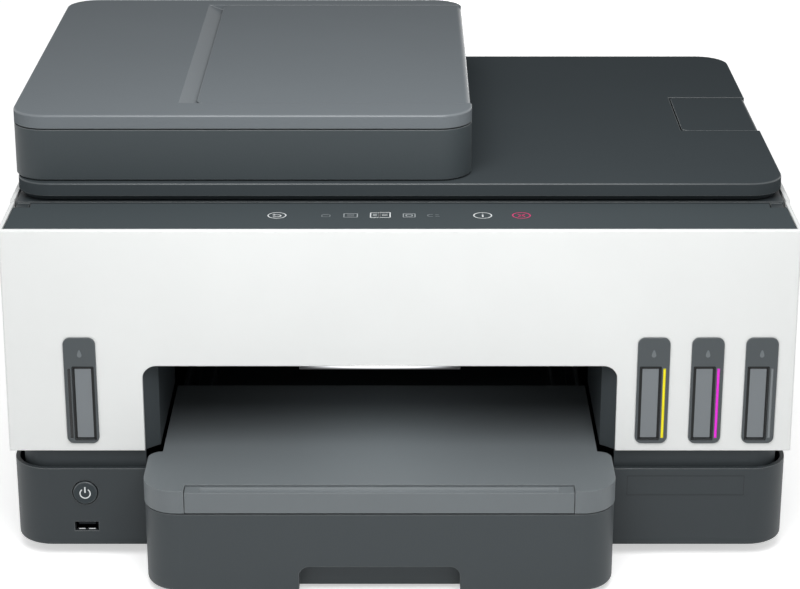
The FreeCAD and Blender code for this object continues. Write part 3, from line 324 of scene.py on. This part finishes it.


# Colour, or None where it is a setting, then roughness, its spread, grain share, share of edge wear and
# painted highlight, metal and coat
FINISHES = {
    # Edge shares of 1.6 and more on the base, lid, feeder and cover paint highlight lines along their edges
    "charcoal": (None, 0.50, 0.10, 1.0, 1.6, 0.0, 0.0),
    "tray_charcoal": (None, 0.50, 0.10, 1.0, 1.0, 0.0, 0.0),
    "lid_charcoal": (None, 0.46, 0.10, 1.0, 2.6, 0.0, 0.0),
    "feeder_charcoal": (None, 0.46, 0.10, 1.0, 1.6, 0.0, 0.0),
    "dark_inner": ("#393f42", 0.60, 0.10, 0.6, 0.5, 0.0, 0.0),
    "white_shell": (None, 0.42, 0.06, 0.5, 0.0, 0.0, 0.1),
    "panel_dark": ("#495053", 0.40, 0.06, 0.5, 0.5, 0.0, 0.1),
    "bezel_grey": ("#474d50", 0.40, 0.08, 0.5, 0.8, 0.0, 0.1),
    "window_grey": ("#70767a", 0.25, 0.05, 0.2, 0.3, 0.0, 0.4),
    "mid_grey": (None, 0.48, 0.10, 1.0, 0.8, 0.0, 0.0),
    "cover_grey": (None, 0.46, 0.10, 1.0, 2.2, 0.0, 0.0),
    "foot_rubber": ("#17181a", 0.80, 0.10, 2.0, 0.2, 0.0, 0.0),
    "roller_rubber": ("#2b2d2f", 0.75, 0.12, 2.5, 0.2, 0.0, 0.0),
    "bright_steel": ("#b4b8ba", 0.28, 0.14, 0.4, 0.3, 1.0, 0.0),
    # Painted shade: the socket metal is darkened to stand for the shade inside the socket's recess
    "port_steel": ("#1e2123", 0.35, 0.14, 0.4, 0.3, 1.0, 0.0),
    "pad_white": ("#ecece6", 0.85, 0.08, 3.0, 0.0, 0.0, 0.0),
    "head_plastic": ("#2a2d30", 0.42, 0.10, 0.6, 0.6, 0.0, 0.0),
    "board_green": ("#2c5539", 0.45, 0.20, 0.8, 0.3, 0.0, 0.2),
    "strip_black": ("#16181a", 0.30, 0.05, 0.1, 0.0, 0.0, 0.3),
    "strip_yellow": ("#fff000", 0.30, 0.05, 0.1, 0.0, 0.0, 0.3),
    "strip_magenta": ("#f51ae6", 0.30, 0.05, 0.1, 0.0, 0.0, 0.3),
    "strip_cyan": ("#7b8184", 0.30, 0.05, 0.1, 0.0, 0.0, 0.3),
    "cap_black": ("#2a2c2e", 0.45, 0.08, 0.6, 0.5, 0.0, 0.0),
    "cap_yellow": ("#e3bf18", 0.45, 0.08, 0.6, 0.3, 0.0, 0.0),
    "cap_magenta": ("#b92d79", 0.45, 0.08, 0.6, 0.3, 0.0, 0.0),
    "cap_cyan": ("#1c88b6", 0.45, 0.08, 0.6, 0.3, 0.0, 0.0),
    "tank_clear": ("#bcc3c6", 0.30, 0.08, 0.2, 0.2, 0.0, 0.3),
    "scan_glass": ("#c3d2d2", 0.06, 0.03, 0.0, 0.0, 0.0, 0.0),
    "mark_light": ("#dfe3e4", 0.50, 0.05, 0.0, 0.0, 0.0, 0.0),
    "mark_dim": ("#a4aaad", 0.50, 0.05, 0.0, 0.0, 0.0, 0.0),
    "mark_faint": ("#838a8d", 0.50, 0.05, 0.0, 0.0, 0.0, 0.0),
    "mark_red": ("#c9346f", 0.50, 0.05, 0.0, 0.0, 0.0, 0.0),
    "mark_drop": ("#6d7376", 0.50, 0.05, 0.0, 0.0, 0.0, 0.0),
    # Painted shade: the dark frames round the windows stand for the shade in the gap between window and
    # bezel
    "painted_gap_shade": ("#121415", 0.55, 0.05, 0.0, 0.0, 0.0, 0.0),
    "plate_line": ("#262b2d", 0.50, 0.05, 0.0, 0.0, 0.0, 0.0),
}

# Finishes on broad tops, where a strong shine would wash the colour out
FLAT_LOOK = ("lid_charcoal", "cover_grey", "panel_dark")


def finish_of(slot):
    name = "finish_" + slot
    if name in bpy.data.materials:
        return bpy.data.materials[name]
    look = bpy.context.scene.printer_look
    code, rough, spread, grain, wear, metal, coat = FINISHES[slot]
    material = bpy.data.materials.new(name)
    material.use_nodes = True
    tree = material.node_tree
    surface = tree.nodes["Principled BSDF"]
    grains = add(tree, "ShaderNodeGroup", node_tree=grain_group())
    grains.inputs["Colour"].default_value = getattr(look, slot) if code is None else linear(code)
    grains.inputs["Sheen"].default_value = rough
    grains.inputs["Spread"].default_value = spread
    grains.inputs["Scale"].default_value = look.grain
    worn_and_highlit = add(tree, "ShaderNodeGroup", node_tree=wear_and_highlight_group())
    # Lighter edges: part wear, part painted highlight
    worn_and_highlit.inputs["Amount"].default_value = look.wear * wear
    bump = add(tree, "ShaderNodeBump")
    bump.inputs["Strength"].default_value = min(1.0, look.relief * grain)
    bump.inputs["Distance"].default_value = GRAIN_DEPTH
    link = tree.links.new
    link(grains.outputs["Colour"], worn_and_highlit.inputs["Colour"])
    link(grains.outputs["Roughness"], worn_and_highlit.inputs["Roughness"])
    link(worn_and_highlit.outputs["Colour"], surface.inputs["Base Color"])
    link(worn_and_highlit.outputs["Roughness"], surface.inputs["Roughness"])
    link(grains.outputs["Height"], bump.inputs["Height"])
    link(worn_and_highlit.outputs["Normal"], bump.inputs["Normal"])
    link(bump.outputs["Normal"], surface.inputs["Normal"])
    surface.inputs["Metallic"].default_value = metal
    surface.inputs["Coat Weight"].default_value = coat
    surface.inputs["Coat Roughness"].default_value = COAT_ROUGHNESS
    surface.inputs["Specular IOR Level"].default_value = 0.0 if slot in FLAT_LOOK else SHINE
    if slot in FLAT_LOOK:
        rim = add(tree, "ShaderNodeGroup", node_tree=rim_group())
        link(rim.outputs["Coat"], surface.inputs["Coat Weight"])
    if slot in SEE_THROUGH:
        surface.inputs["Transmission Weight"].default_value = SEE_THROUGH[slot]
    if slot == "scan_glass":
        surface.inputs["IOR"].default_value = GLASS_INDEX
    return material


# Rim gloss: polished where a matt top rolls over to its sides, measured on the piece's own upright axis
def rim_group():
    if "Rim gloss" in bpy.data.node_groups:
        return bpy.data.node_groups["Rim gloss"]
    group = new_group("Rim gloss", [("Amount", "NodeSocketFloat", 4.0)], [("Coat", "NodeSocketFloat")])
    ends = add(group, "NodeGroupInput")
    out = add(group, "NodeGroupOutput")
    flat = add(group, "ShaderNodeNewGeometry")
    own = add(group, "ShaderNodeVectorTransform", vector_type="NORMAL")
    own.convert_from, own.convert_to = "WORLD", "OBJECT"
    parts = add(group, "ShaderNodeSeparateXYZ")
    group.links.new(flat.outputs["Normal"], own.inputs["Vector"])
    group.links.new(own.outputs["Vector"], parts.inputs["Vector"])
    upright = math_of(group, "MAXIMUM", parts.outputs["Z"], 0.0)
    slope = math_of(group, "MULTIPLY", upright, math_of(group, "SUBTRACT", 1.0, upright))
    group.links.new(math_of(group, "MULTIPLY", slope, ends.outputs["Amount"]), out.inputs["Coat"])
    return group


def fade_of(group, source, bright, dark):
    fade = add(group, "ShaderNodeMapRange", interpolation_type="SMOOTHSTEP", clamp=True)
    group.links.new(source, fade.inputs["Value"])
    for label, value in (("From Min", bright), ("From Max", dark), ("To Min", 1.0), ("To Max", 0.0)):
        fade.inputs[label].default_value = value
    return fade.outputs["Result"]


# Lamp glow: full behind the lamp's front face, fainter on its front lip, fading to both ends
def glow_group():
    low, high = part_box("bay_lamp")
    middle, reach = (low[0] + high[0]) / 2, (high[0] - low[0]) / 2
    group = new_group("Lamp glow", [("Colour", "NodeSocketColor", (0.95, 0.98, 1.0, 1.0))],
                      [("Colour", "NodeSocketColor")])
    ends = add(group, "NodeGroupInput")
    out = add(group, "NodeGroupOutput")
    place = add(group, "ShaderNodeTexCoord")
    parts = add(group, "ShaderNodeSeparateXYZ")
    link = group.links.new
    link(place.outputs["Object"], parts.inputs["Vector"])
    away = math_of(group, "ABSOLUTE", math_of(group, "SUBTRACT", parts.outputs["X"], middle), 0.0)
    along = fade_of(group, away, 0.0, reach)
    under = math_of(group, "GREATER_THAN", parts.outputs["Y"], low[1] + LAMP_SKIN)
    drop = fade_of(group, parts.outputs["Z"], low[2] + LAMP_LIP, low[2])
    lip = math_of(group, "MULTIPLY", drop, LAMP_LIP_SHARE)
    level = math_of(group, "MULTIPLY", along, math_of(group, "MAXIMUM", under, lip))
    tone = add(group, "ShaderNodeMix", data_type="RGBA", blend_type="MULTIPLY")
    tone.inputs["Factor"].default_value = 1.0
    link(ends.outputs["Colour"], tone.inputs["A"])
    link(level, tone.inputs["B"])
    link(tone.outputs["Result"], out.inputs["Colour"])
    return group


def lamp_finish():
    material = bpy.data.materials.new("finish_lamp")
    material.use_nodes = True
    tree = material.node_tree
    surface = tree.nodes["Principled BSDF"]
    surface.inputs["Base Color"].default_value = linear(LAMP_UNLIT)
    surface.inputs["Roughness"].default_value = LAMP_ROUGHNESS
    glow = add(tree, "ShaderNodeGroup", node_tree=glow_group())
    tree.links.new(glow.outputs["Colour"], surface.inputs["Emission Color"])
    surface.inputs["Emission Strength"].default_value = bpy.context.scene.printer_look.lamp_strength
    return material


# Pieces whose finish differs a little from the rest of their slot
OWN_FINISH = {"feeder_body": "feeder_charcoal", "power_button": "lid_charcoal"}


def dress(names):
    slots = {s["node"]: s["material_slot"] for s in frame["record"]["subparts"]}
    for name in names:
        piece = NODES[name]
        slot = OWN_FINISH.get(name, slots[name])
        material = lamp_finish() if slot == "lamp_white" else finish_of(slot)
        if not piece.material_slots:
            raise RuntimeError(f"{name} has no material slot")
        for held in piece.material_slots:
            held.material = material


# Flat printed shapes, as lists of corner loops in millimetres
def ring(x, y, outer, inner, start=0.0, sweep=360.0, steps=32):
    loops = []
    for k in range(steps):
        a, b = (math.radians(start + sweep * (k + j) / steps) for j in (0, 1))
        loops.append([(x + r * math.cos(t), y + r * math.sin(t))
                      for r, t in ((outer, a), (outer, b), (inner, b), (inner, a))])
    return loops


def bar(x0, y0, x1, y1, wide):
    length = math.hypot(x1 - x0, y1 - y0)
    dx, dy = (y0 - y1) / length * wide / 2, (x1 - x0) / length * wide / 2
    return [[(x0 + dx, y0 + dy), (x0 - dx, y0 - dy), (x1 - dx, y1 - dy), (x1 + dx, y1 + dy)]]


def frame_of(x, y, wide, tall, line):
    w, t = wide / 2, tall / 2
    corners = [(x - w, y - t), (x + w, y - t), (x + w, y + t), (x - w, y + t)]
    loops = []
    for k in range(4):
        (ax, ay), (bx, by) = corners[k], corners[(k + 1) % 4]
        loops += bar(ax, ay, bx, by, line)
    return loops


def print_mark(name, loops, to_point, slot, body):
    """Makes one flat mark from loops, riding a body; to_point puts a corner in the printer's frame."""
    points, faces = [], []
    for loop in loops:
        faces.append(list(range(len(points), len(points) + len(loop))))
        points += [to_point(u, v) for u, v in loop]
    mesh = bpy.data.meshes.new(name)
    mesh.from_pydata(points, [], faces)
    mesh.materials.append(finish_of(slot))
    piece = bpy.data.objects.new(name, mesh)
    bpy.context.scene.collection.objects.link(piece)
    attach(piece, body)
    return piece


def at_sign(name, loops):
    """Moves a sign that is drawn about its own centre to its place along the panel."""
    return [[(SIGN_PLACES[name] + u, v) for u, v in loop] for loop in loops]


def on_front(y, x=0.0, z=0.0):
    """Gives a function that puts a mark's corner, in millimetres, on an upright face at depth y."""
    def place(u, v):
        return (x + u / 1000, y, z + v / 1000)

    return place


def strip_place(ink):
    """Gives the middle of an ink's coloured strip, and on which side of it the window is."""
    low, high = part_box("level_strip_" + ink)
    return (low[0] + high[0]) / 2, 1 if ink == "black" else -1


class PRINTER_OT_casing(bpy.types.Operator):
    """Finish the base, shell, frame and rear of the case"""

    bl_idname = "printer.casing"
    bl_label = "Casing"

    def execute(self, context):
        dress(["base_tub", "rubber_feet", "inner_frame", "side_panel_left", "side_panel_right", "rear_cover",
               "front_door", "control_panel", "door_pins", "power_button", "bay_lamp"])
        return {"FINISHED"}


class PRINTER_OT_windows(bpy.types.Operator):
    """Finish the ink windows, level strips, tanks and caps"""

    bl_idname = "printer.windows"
    bl_label = "Ink windows"

    def execute(self, context):
        dress(["window_bezels", "level_windows"])
        dress([f"{piece}_{ink}" for piece in ("level_strip", "ink_tank", "tank_cap") for ink in INKS])
        return {"FINISHED"}


class PRINTER_OT_trays(bpy.types.Operator):
    """Finish the paper drawer, output tray, extender and guides"""

    bl_idname = "printer.trays"
    bl_label = "Paper trays"

    def execute(self, context):
        dress(["paper_tray", "output_tray", "output_extender", "paper_guide_left", "paper_guide_right",
               "length_guide"])
        return {"FINISHED"}


class PRINTER_OT_lid(bpy.types.Operator):
    """Finish the scanner, its lid and the sheet feeder"""

    bl_idname = "printer.lid"
    bl_label = "Scanner and feeder"

    def execute(self, context):
        dress(["scanner_bed", "scanner_glass", "scan_rail", "scan_bar", "scanner_lid", "lid_pad",
               "paper_stop", "lid_hinge_brackets", "feeder_body", "feeder_cover", "input_tray_flap",
               "feeder_roller", "sheet_guide_front", "sheet_guide_back"])
        return {"FINISHED"}


class PRINTER_OT_engine(bpy.types.Operator):
    """Finish the print engine, sockets and board"""

    bl_idname = "printer.engine"
    bl_label = "Print engine"

    def execute(self, context):
        dress(["carriage_rail", "carriage", "printhead_black", "printhead_colour", "platen", "feed_roller",
               "exit_roller", "front_usb_port", "rear_usb_port", "power_inlet", "main_board"])
        return {"FINISHED"}


class PRINTER_OT_panel_marks(bpy.types.Operator):
    """Print the plain symbols on the control panel"""

    bl_idname = "printer.panel_marks"
    bl_label = "Panel marks"

    def execute(self, context):
        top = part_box("control_panel")[1][2] + context.scene.printer_look.lift
        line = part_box("front_door")[0][1] + SIGN_LINE / 1000

        def on_panel(u, v):
            return (u / 1000, line + v / 1000, top)

        back = ring(0, 0, 5.4, 4.7) + ring(0.4, -0.6, 2.2, 1.5, -90, 180, 12)
        back += bar(-2.6, 1.2, 0.4, 1.2, 0.7) + bar(-2.6, 1.2, -1.2, 2.4, 0.7)
        back += bar(-2.6, 1.2, -1.2, 0, 0.7) + bar(-2.2, -2.4, 0.4, -2.4, 0.7)
        print_mark("mark_back", at_sign("back", back), on_panel, "mark_light", "front_door")
        help_sign = ring(0, 0, 5.4, 4.7) + bar(0, -2.6, 0, 0.6, 0.9) + bar(0, 1.7, 0, 2.6, 0.9)
        print_mark("mark_help", at_sign("help", help_sign), on_panel, "mark_light", "front_door")
        cancel = ring(0, 0, 5.4, 4.6) + bar(-2, -2, 2, 2, 0.9) + bar(-2, 2, 2, -2, 0.9)
        print_mark("mark_cancel", at_sign("cancel", cancel), on_panel, "mark_red", "front_door")
        copy = frame_of(-2.8, 0.4, 5, 8.4, 0.7) + frame_of(2.8, 0.8, 6, 9, 0.7)
        copy += bar(-4, 1.8, -1.6, 1.8, 0.6) + bar(-4, -0.4, -1.6, -0.4, 0.6)
        copy += bar(1.2, 2, 4.4, 2, 0.6) + bar(1.2, -0.2, 4.4, -0.2, 0.6)
        print_mark("mark_copy", at_sign("copy", copy), on_panel, "mark_light", "front_door")
        lined_sheet = frame_of(0, 0, 7.6, 6.4, 0.6) + bar(-2, 1, 2, 1, 0.5) + bar(-2, -1, 2, -1, 0.5)
        framed_sheet = frame_of(0, 0, 6.6, 6.4, 0.6) + frame_of(0, 0, 3.4, 3, 0.8)
        sheets = at_sign("lined_sheet", lined_sheet) + at_sign("framed_sheet", framed_sheet)
        print_mark("mark_sheets", sheets, on_panel, "mark_dim", "front_door")
        paper = frame_of(0, -0.6, 4.6, 3.4, 0.5) + bar(-2, 2, 1.5, 2, 0.5)
        signal = ring(0, 0, 2.2, 1.7, 60, 240, 12) + bar(2.4, -1.6, 4.8, -1.6, 0.5)
        signal += bar(2.4, 1.2, 4.4, 1.2, 0.5)
        faint = at_sign("paper", paper) + at_sign("signal", signal)
        print_mark("mark_faint", faint, on_panel, "mark_faint", "front_door")
        return {"FINISHED"}


class PRINTER_OT_power_mark(bpy.types.Operator):
    """Print the power sign on the button"""

    bl_idname = "printer.power_mark"
    bl_label = "Power mark"

    def execute(self, context):
        low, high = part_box("power_button")
        y = low[1] - context.scene.printer_look.lift
        on_button = on_front(y, (low[0] + high[0]) / 2, (low[2] + high[2]) / 2)
        sign = ring(0, -0.2, 3.3, 2.6, 125, 290, 28) + bar(0, 0.2, 0, 3.9, 0.8)
        print_mark("mark_power", sign, on_button, "mark_light", "power_button")
        return {"FINISHED"}


class PRINTER_OT_front_details(bpy.types.Operator):
    """Set the painted shade of the gap and rim round each window, the socket's contacts and the outline of
    the blank plate on the base
    """

    bl_idname = "printer.front_details"
    bl_label = "Front details"

    def execute(self, context):
        lift = context.scene.printer_look.lift
        low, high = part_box("level_windows")
        middle, tall = (low[2] + high[2]) * 500, (high[2] - low[2]) * 1000
        gap_shades, rim_shades = [], []
        for ink in INKS:
            strip, side = strip_place(ink)
            x = strip * 1000 + side * WINDOW_STEP
            # Painted shade: dark frames at the window and on the bezel stand for the shaded gap round each
            # window
            gap_shades += frame_of(x, middle, WINDOW_WIDE + GAP_SHADE_GROWTH, tall + GAP_SHADE_GROWTH, GAP_SHADE_LINE)
            rim_shades += frame_of(x, middle, WINDOW_WIDE + RIM_SHADE_GROWTH, tall + RIM_SHADE_GROWTH, RIM_SHADE_LINE)
        print_mark("window_gap_shades", gap_shades, on_front(low[1] - lift), "painted_gap_shade", "front_door")
        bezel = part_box("window_bezels")[0]
        print_mark("window_rim_shades", rim_shades, on_front(bezel[1] - lift), "painted_gap_shade", "front_door")
        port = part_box("front_usb_port")[0]
        contacts = []
        for start in CONTACT_STARTS:
            contacts += bar(start, CONTACT_HIGH, start + CONTACT_LONG, CONTACT_HIGH, CONTACT_LINE)
        on_port = on_front(port[1] - lift, port[0], port[2])
        print_mark("socket_contacts", contacts, on_port, "mark_light", "case")
        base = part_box("base_tub")[0]
        plate = frame_of(*PLATE_PLACE, *PLATE_SIZE, PLATE_LINE)
        print_mark("plate_outline", plate, on_front(base[1] - lift), "plate_line", "case")
        return {"FINISHED"}


class PRINTER_OT_drop_marks(bpy.types.Operator):
    """Set one plain drop above each ink window"""

    bl_idname = "printer.drop_marks"
    bl_label = "Drop marks"

    def execute(self, context):
        low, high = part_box("window_bezels")
        y = low[1] - context.scene.printer_look.lift
        z = high[2] - DROP_BELOW
        spots = []
        for ink in INKS:
            strip, side = strip_place(ink)
            spots.append((strip + side * DROP_STEP, y, z))
        mesh = bpy.data.meshes.new("drop_marks")
        mesh.from_pydata(spots, [], [])
        piece = bpy.data.objects.new("drop_marks", mesh)
        context.scene.collection.objects.link(piece)
        tree = bpy.data.node_groups.new("Drop on each window", "GeometryNodeTree")
        tree.interface.new_socket(name="Geometry", in_out="INPUT", socket_type="NodeSocketGeometry")
        radius = tree.interface.new_socket(name="Radius", in_out="INPUT", socket_type="NodeSocketFloat")
        peak = tree.interface.new_socket(name="Peak", in_out="INPUT", socket_type="NodeSocketFloat")
        tree.interface.new_socket(name="Geometry", in_out="OUTPUT", socket_type="NodeSocketGeometry")
        ends = add(tree, "NodeGroupInput")
        out = add(tree, "NodeGroupOutput")
        disc = add(tree, "GeometryNodeMeshCircle", fill_type="NGON")
        disc.inputs["Vertices"].default_value = DROP_CORNERS
        where = add(tree, "GeometryNodeInputPosition")
        split = add(tree, "ShaderNodeSeparateXYZ")
        tip = add(tree, "ShaderNodeMath", operation="MAXIMUM")
        tip.inputs[1].default_value = 0.0
        rise = add(tree, "ShaderNodeMath", operation="POWER")
        rise.inputs[1].default_value = DROP_POWER
        grow = add(tree, "ShaderNodeMath", operation="MULTIPLY")
        lift = add(tree, "ShaderNodeCombineXYZ")
        move = add(tree, "GeometryNodeSetPosition")
        stand = add(tree, "GeometryNodeTransform")
        stand.inputs["Rotation"].default_value = (math.radians(90), 0, 0)
        scatter = add(tree, "GeometryNodeInstanceOnPoints")
        real = add(tree, "GeometryNodeRealizeInstances")
        paint = add(tree, "GeometryNodeSetMaterial")
        paint.inputs["Material"].default_value = finish_of("mark_drop")
        link = tree.links.new
        link(ends.outputs["Radius"], disc.inputs["Radius"])
        link(ends.outputs["Peak"], grow.inputs[1])
        link(where.outputs[0], split.inputs[0])
        link(split.outputs["Y"], tip.inputs[0])
        link(tip.outputs[0], rise.inputs[0])
        link(rise.outputs[0], grow.inputs[0])
        link(grow.outputs[0], lift.inputs["Y"])
        link(disc.outputs[0], move.inputs["Geometry"])
        link(lift.outputs[0], move.inputs["Offset"])
        link(move.outputs[0], stand.inputs["Geometry"])
        link(ends.outputs["Geometry"], scatter.inputs["Points"])
        link(stand.outputs[0], scatter.inputs["Instance"])
        link(scatter.outputs[0], real.inputs[0])
        link(real.outputs[0], paint.inputs["Geometry"])
        link(paint.outputs[0], out.inputs[0])
        drops = piece.modifiers.new("Drops", "NODES")
        drops.node_group = tree
        drops[radius.identifier] = context.scene.printer_look.drop_radius
        drops[peak.identifier] = DROP_PEAK
        context.view_layer.update()
        made = bpy.data.meshes.new_from_object(piece.evaluated_get(context.evaluated_depsgraph_get()))
        piece.modifiers.clear()
        piece.data = made
        if not made.polygons:
            raise RuntimeError("the drops made no faces")
        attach(piece, "front_door")
        return {"FINISHED"}


def seen_directly(tree):
    """Gives 1 for rays from the camera, a gloss or glass, so that a pale stage adds no light."""
    rays = add(tree, "ShaderNodeLightPath")
    seen = rays.outputs["Is Camera Ray"]
    for kind in ("Is Glossy Ray", "Is Transmission Ray"):
        seen = math_of(tree, "MAXIMUM", seen, rays.outputs[kind])
    return seen


class PRINTER_OT_stage(bpy.types.Operator):
    """Set the pale floor, the studio lights and the camera"""

    bl_idname = "printer.stage"
    bl_label = "Stage"

    def execute(self, context):
        scene = context.scene
        scene.view_settings.view_transform = "Standard"
        self.lay_floor(scene)
        self.light(scene)
        self.set_camera(scene)
        return {"FINISHED"}

    def lay_floor(self, scene):
        values = scene.printer_stage
        reach = FLOOR_REACH
        corners = [(x * reach, y * reach, -FLOOR_DROP) for x, y in ((-1, -1), (1, -1), (1, 1), (-1, 1))]
        mesh = bpy.data.meshes.new("floor")
        mesh.from_pydata(corners, [], [(0, 1, 2, 3)])
        pale = bpy.data.materials.new("floor_pale")
        pale.use_nodes = True
        tree = pale.node_tree
        surface = tree.nodes["Principled BSDF"].inputs
        surface["Base Color"].default_value = (values.floor_tone, values.floor_tone, values.floor_tone, 1)
        surface["Roughness"].default_value = FLOOR_ROUGHNESS
        surface["Emission Color"].default_value = (1, 1, 1, 1)
        glow = math_of(tree, "MULTIPLY", seen_directly(tree), values.floor_glow)
        tree.links.new(glow, surface["Emission Strength"])
        mesh.materials.append(pale)
        floor = bpy.data.objects.new("floor", mesh)
        scene.collection.objects.link(floor)

    def light(self, scene):
        values = scene.printer_stage
        world = bpy.data.worlds.new("studio")
        world.use_nodes = True
        tree = world.node_tree
        sky = tree.nodes["Background"].inputs
        sky["Color"].default_value = (1, 1, 1, 1)
        extra = math_of(tree, "MULTIPLY", seen_directly(tree), values.backdrop - values.surround)
        tree.links.new(math_of(tree, "ADD", extra, values.surround), sky["Strength"])
        scene.world = world
        for name, (spot, size, share) in LIGHTS.items():
            data = bpy.data.lights.new(name, "AREA")
            data.energy = values.key * share
            data.size = size
            lamp = bpy.data.objects.new(name, data)
            lamp.location = spot
            # Only the brow light shows in a gloss, so that the low ones leave no streaks on the lid
            lamp.visible_glossy = name == "brow"
            aim = (-spot[0], -spot[1], AIM_HEIGHT - spot[2])
            turn = math.atan2(aim[1], aim[0]) - math.pi / 2
            lamp.rotation_euler = (math.atan2(math.hypot(aim[0], aim[1]), -aim[2]), 0, turn)
            scene.collection.objects.link(lamp)

    def set_camera(self, scene):
        values = scene.printer_stage
        data = bpy.data.cameras.new("camera")
        data.lens = values.lens
        data.sensor_width = SENSOR_WIDE
        data.sensor_fit = "HORIZONTAL"
        camera = bpy.data.objects.new("camera", data)
        camera.location = CAMERA_PLACE
        camera.rotation_euler = (math.pi / 2 - values.pitch, 0, 0)
        scene.collection.objects.link(camera)
        scene.camera = camera


class PRINTER_PT_panel(bpy.types.Panel):
    """Sidebar panel with one button per group of pieces"""

    bl_idname = "PRINTER_PT_panel"
    bl_label = "Printer"
    bl_space_type = "VIEW_3D"
    bl_region_type = "UI"
    bl_category = "Printer"

    def draw(self, context):
        for values in (context.scene.printer_look, context.scene.printer_stage):
            for name in type(values).__annotations__:
                self.layout.prop(values, name)
        for operator in OPERATORS:
            self.layout.operator(operator.bl_idname)


OPERATORS = (PRINTER_OT_casing, PRINTER_OT_windows, PRINTER_OT_trays, PRINTER_OT_lid, PRINTER_OT_engine,
             PRINTER_OT_panel_marks, PRINTER_OT_power_mark, PRINTER_OT_front_details, PRINTER_OT_drop_marks,
             PRINTER_OT_stage)
CLASSES = (PrinterLook, PrinterStage) + OPERATORS + (PRINTER_PT_panel,)


def register():
    for item in CLASSES:
        bpy.utils.register_class(item)
    bpy.types.Scene.printer_look = bpy.props.PointerProperty(type=PrinterLook)
    bpy.types.Scene.printer_stage = bpy.props.PointerProperty(type=PrinterStage)


def unregister():
    del bpy.types.Scene.printer_stage
    del bpy.types.Scene.printer_look
    for item in reversed(CLASSES):
        bpy.utils.unregister_class(item)


def main():
    register()
    for operator in OPERATORS:
        step = operator.bl_idname.split(".")[1]
        if getattr(bpy.ops.printer, step)() != {"FINISHED"}:
            raise RuntimeError(f"{step} did not finish")


if __name__ == "__main__":
    main()
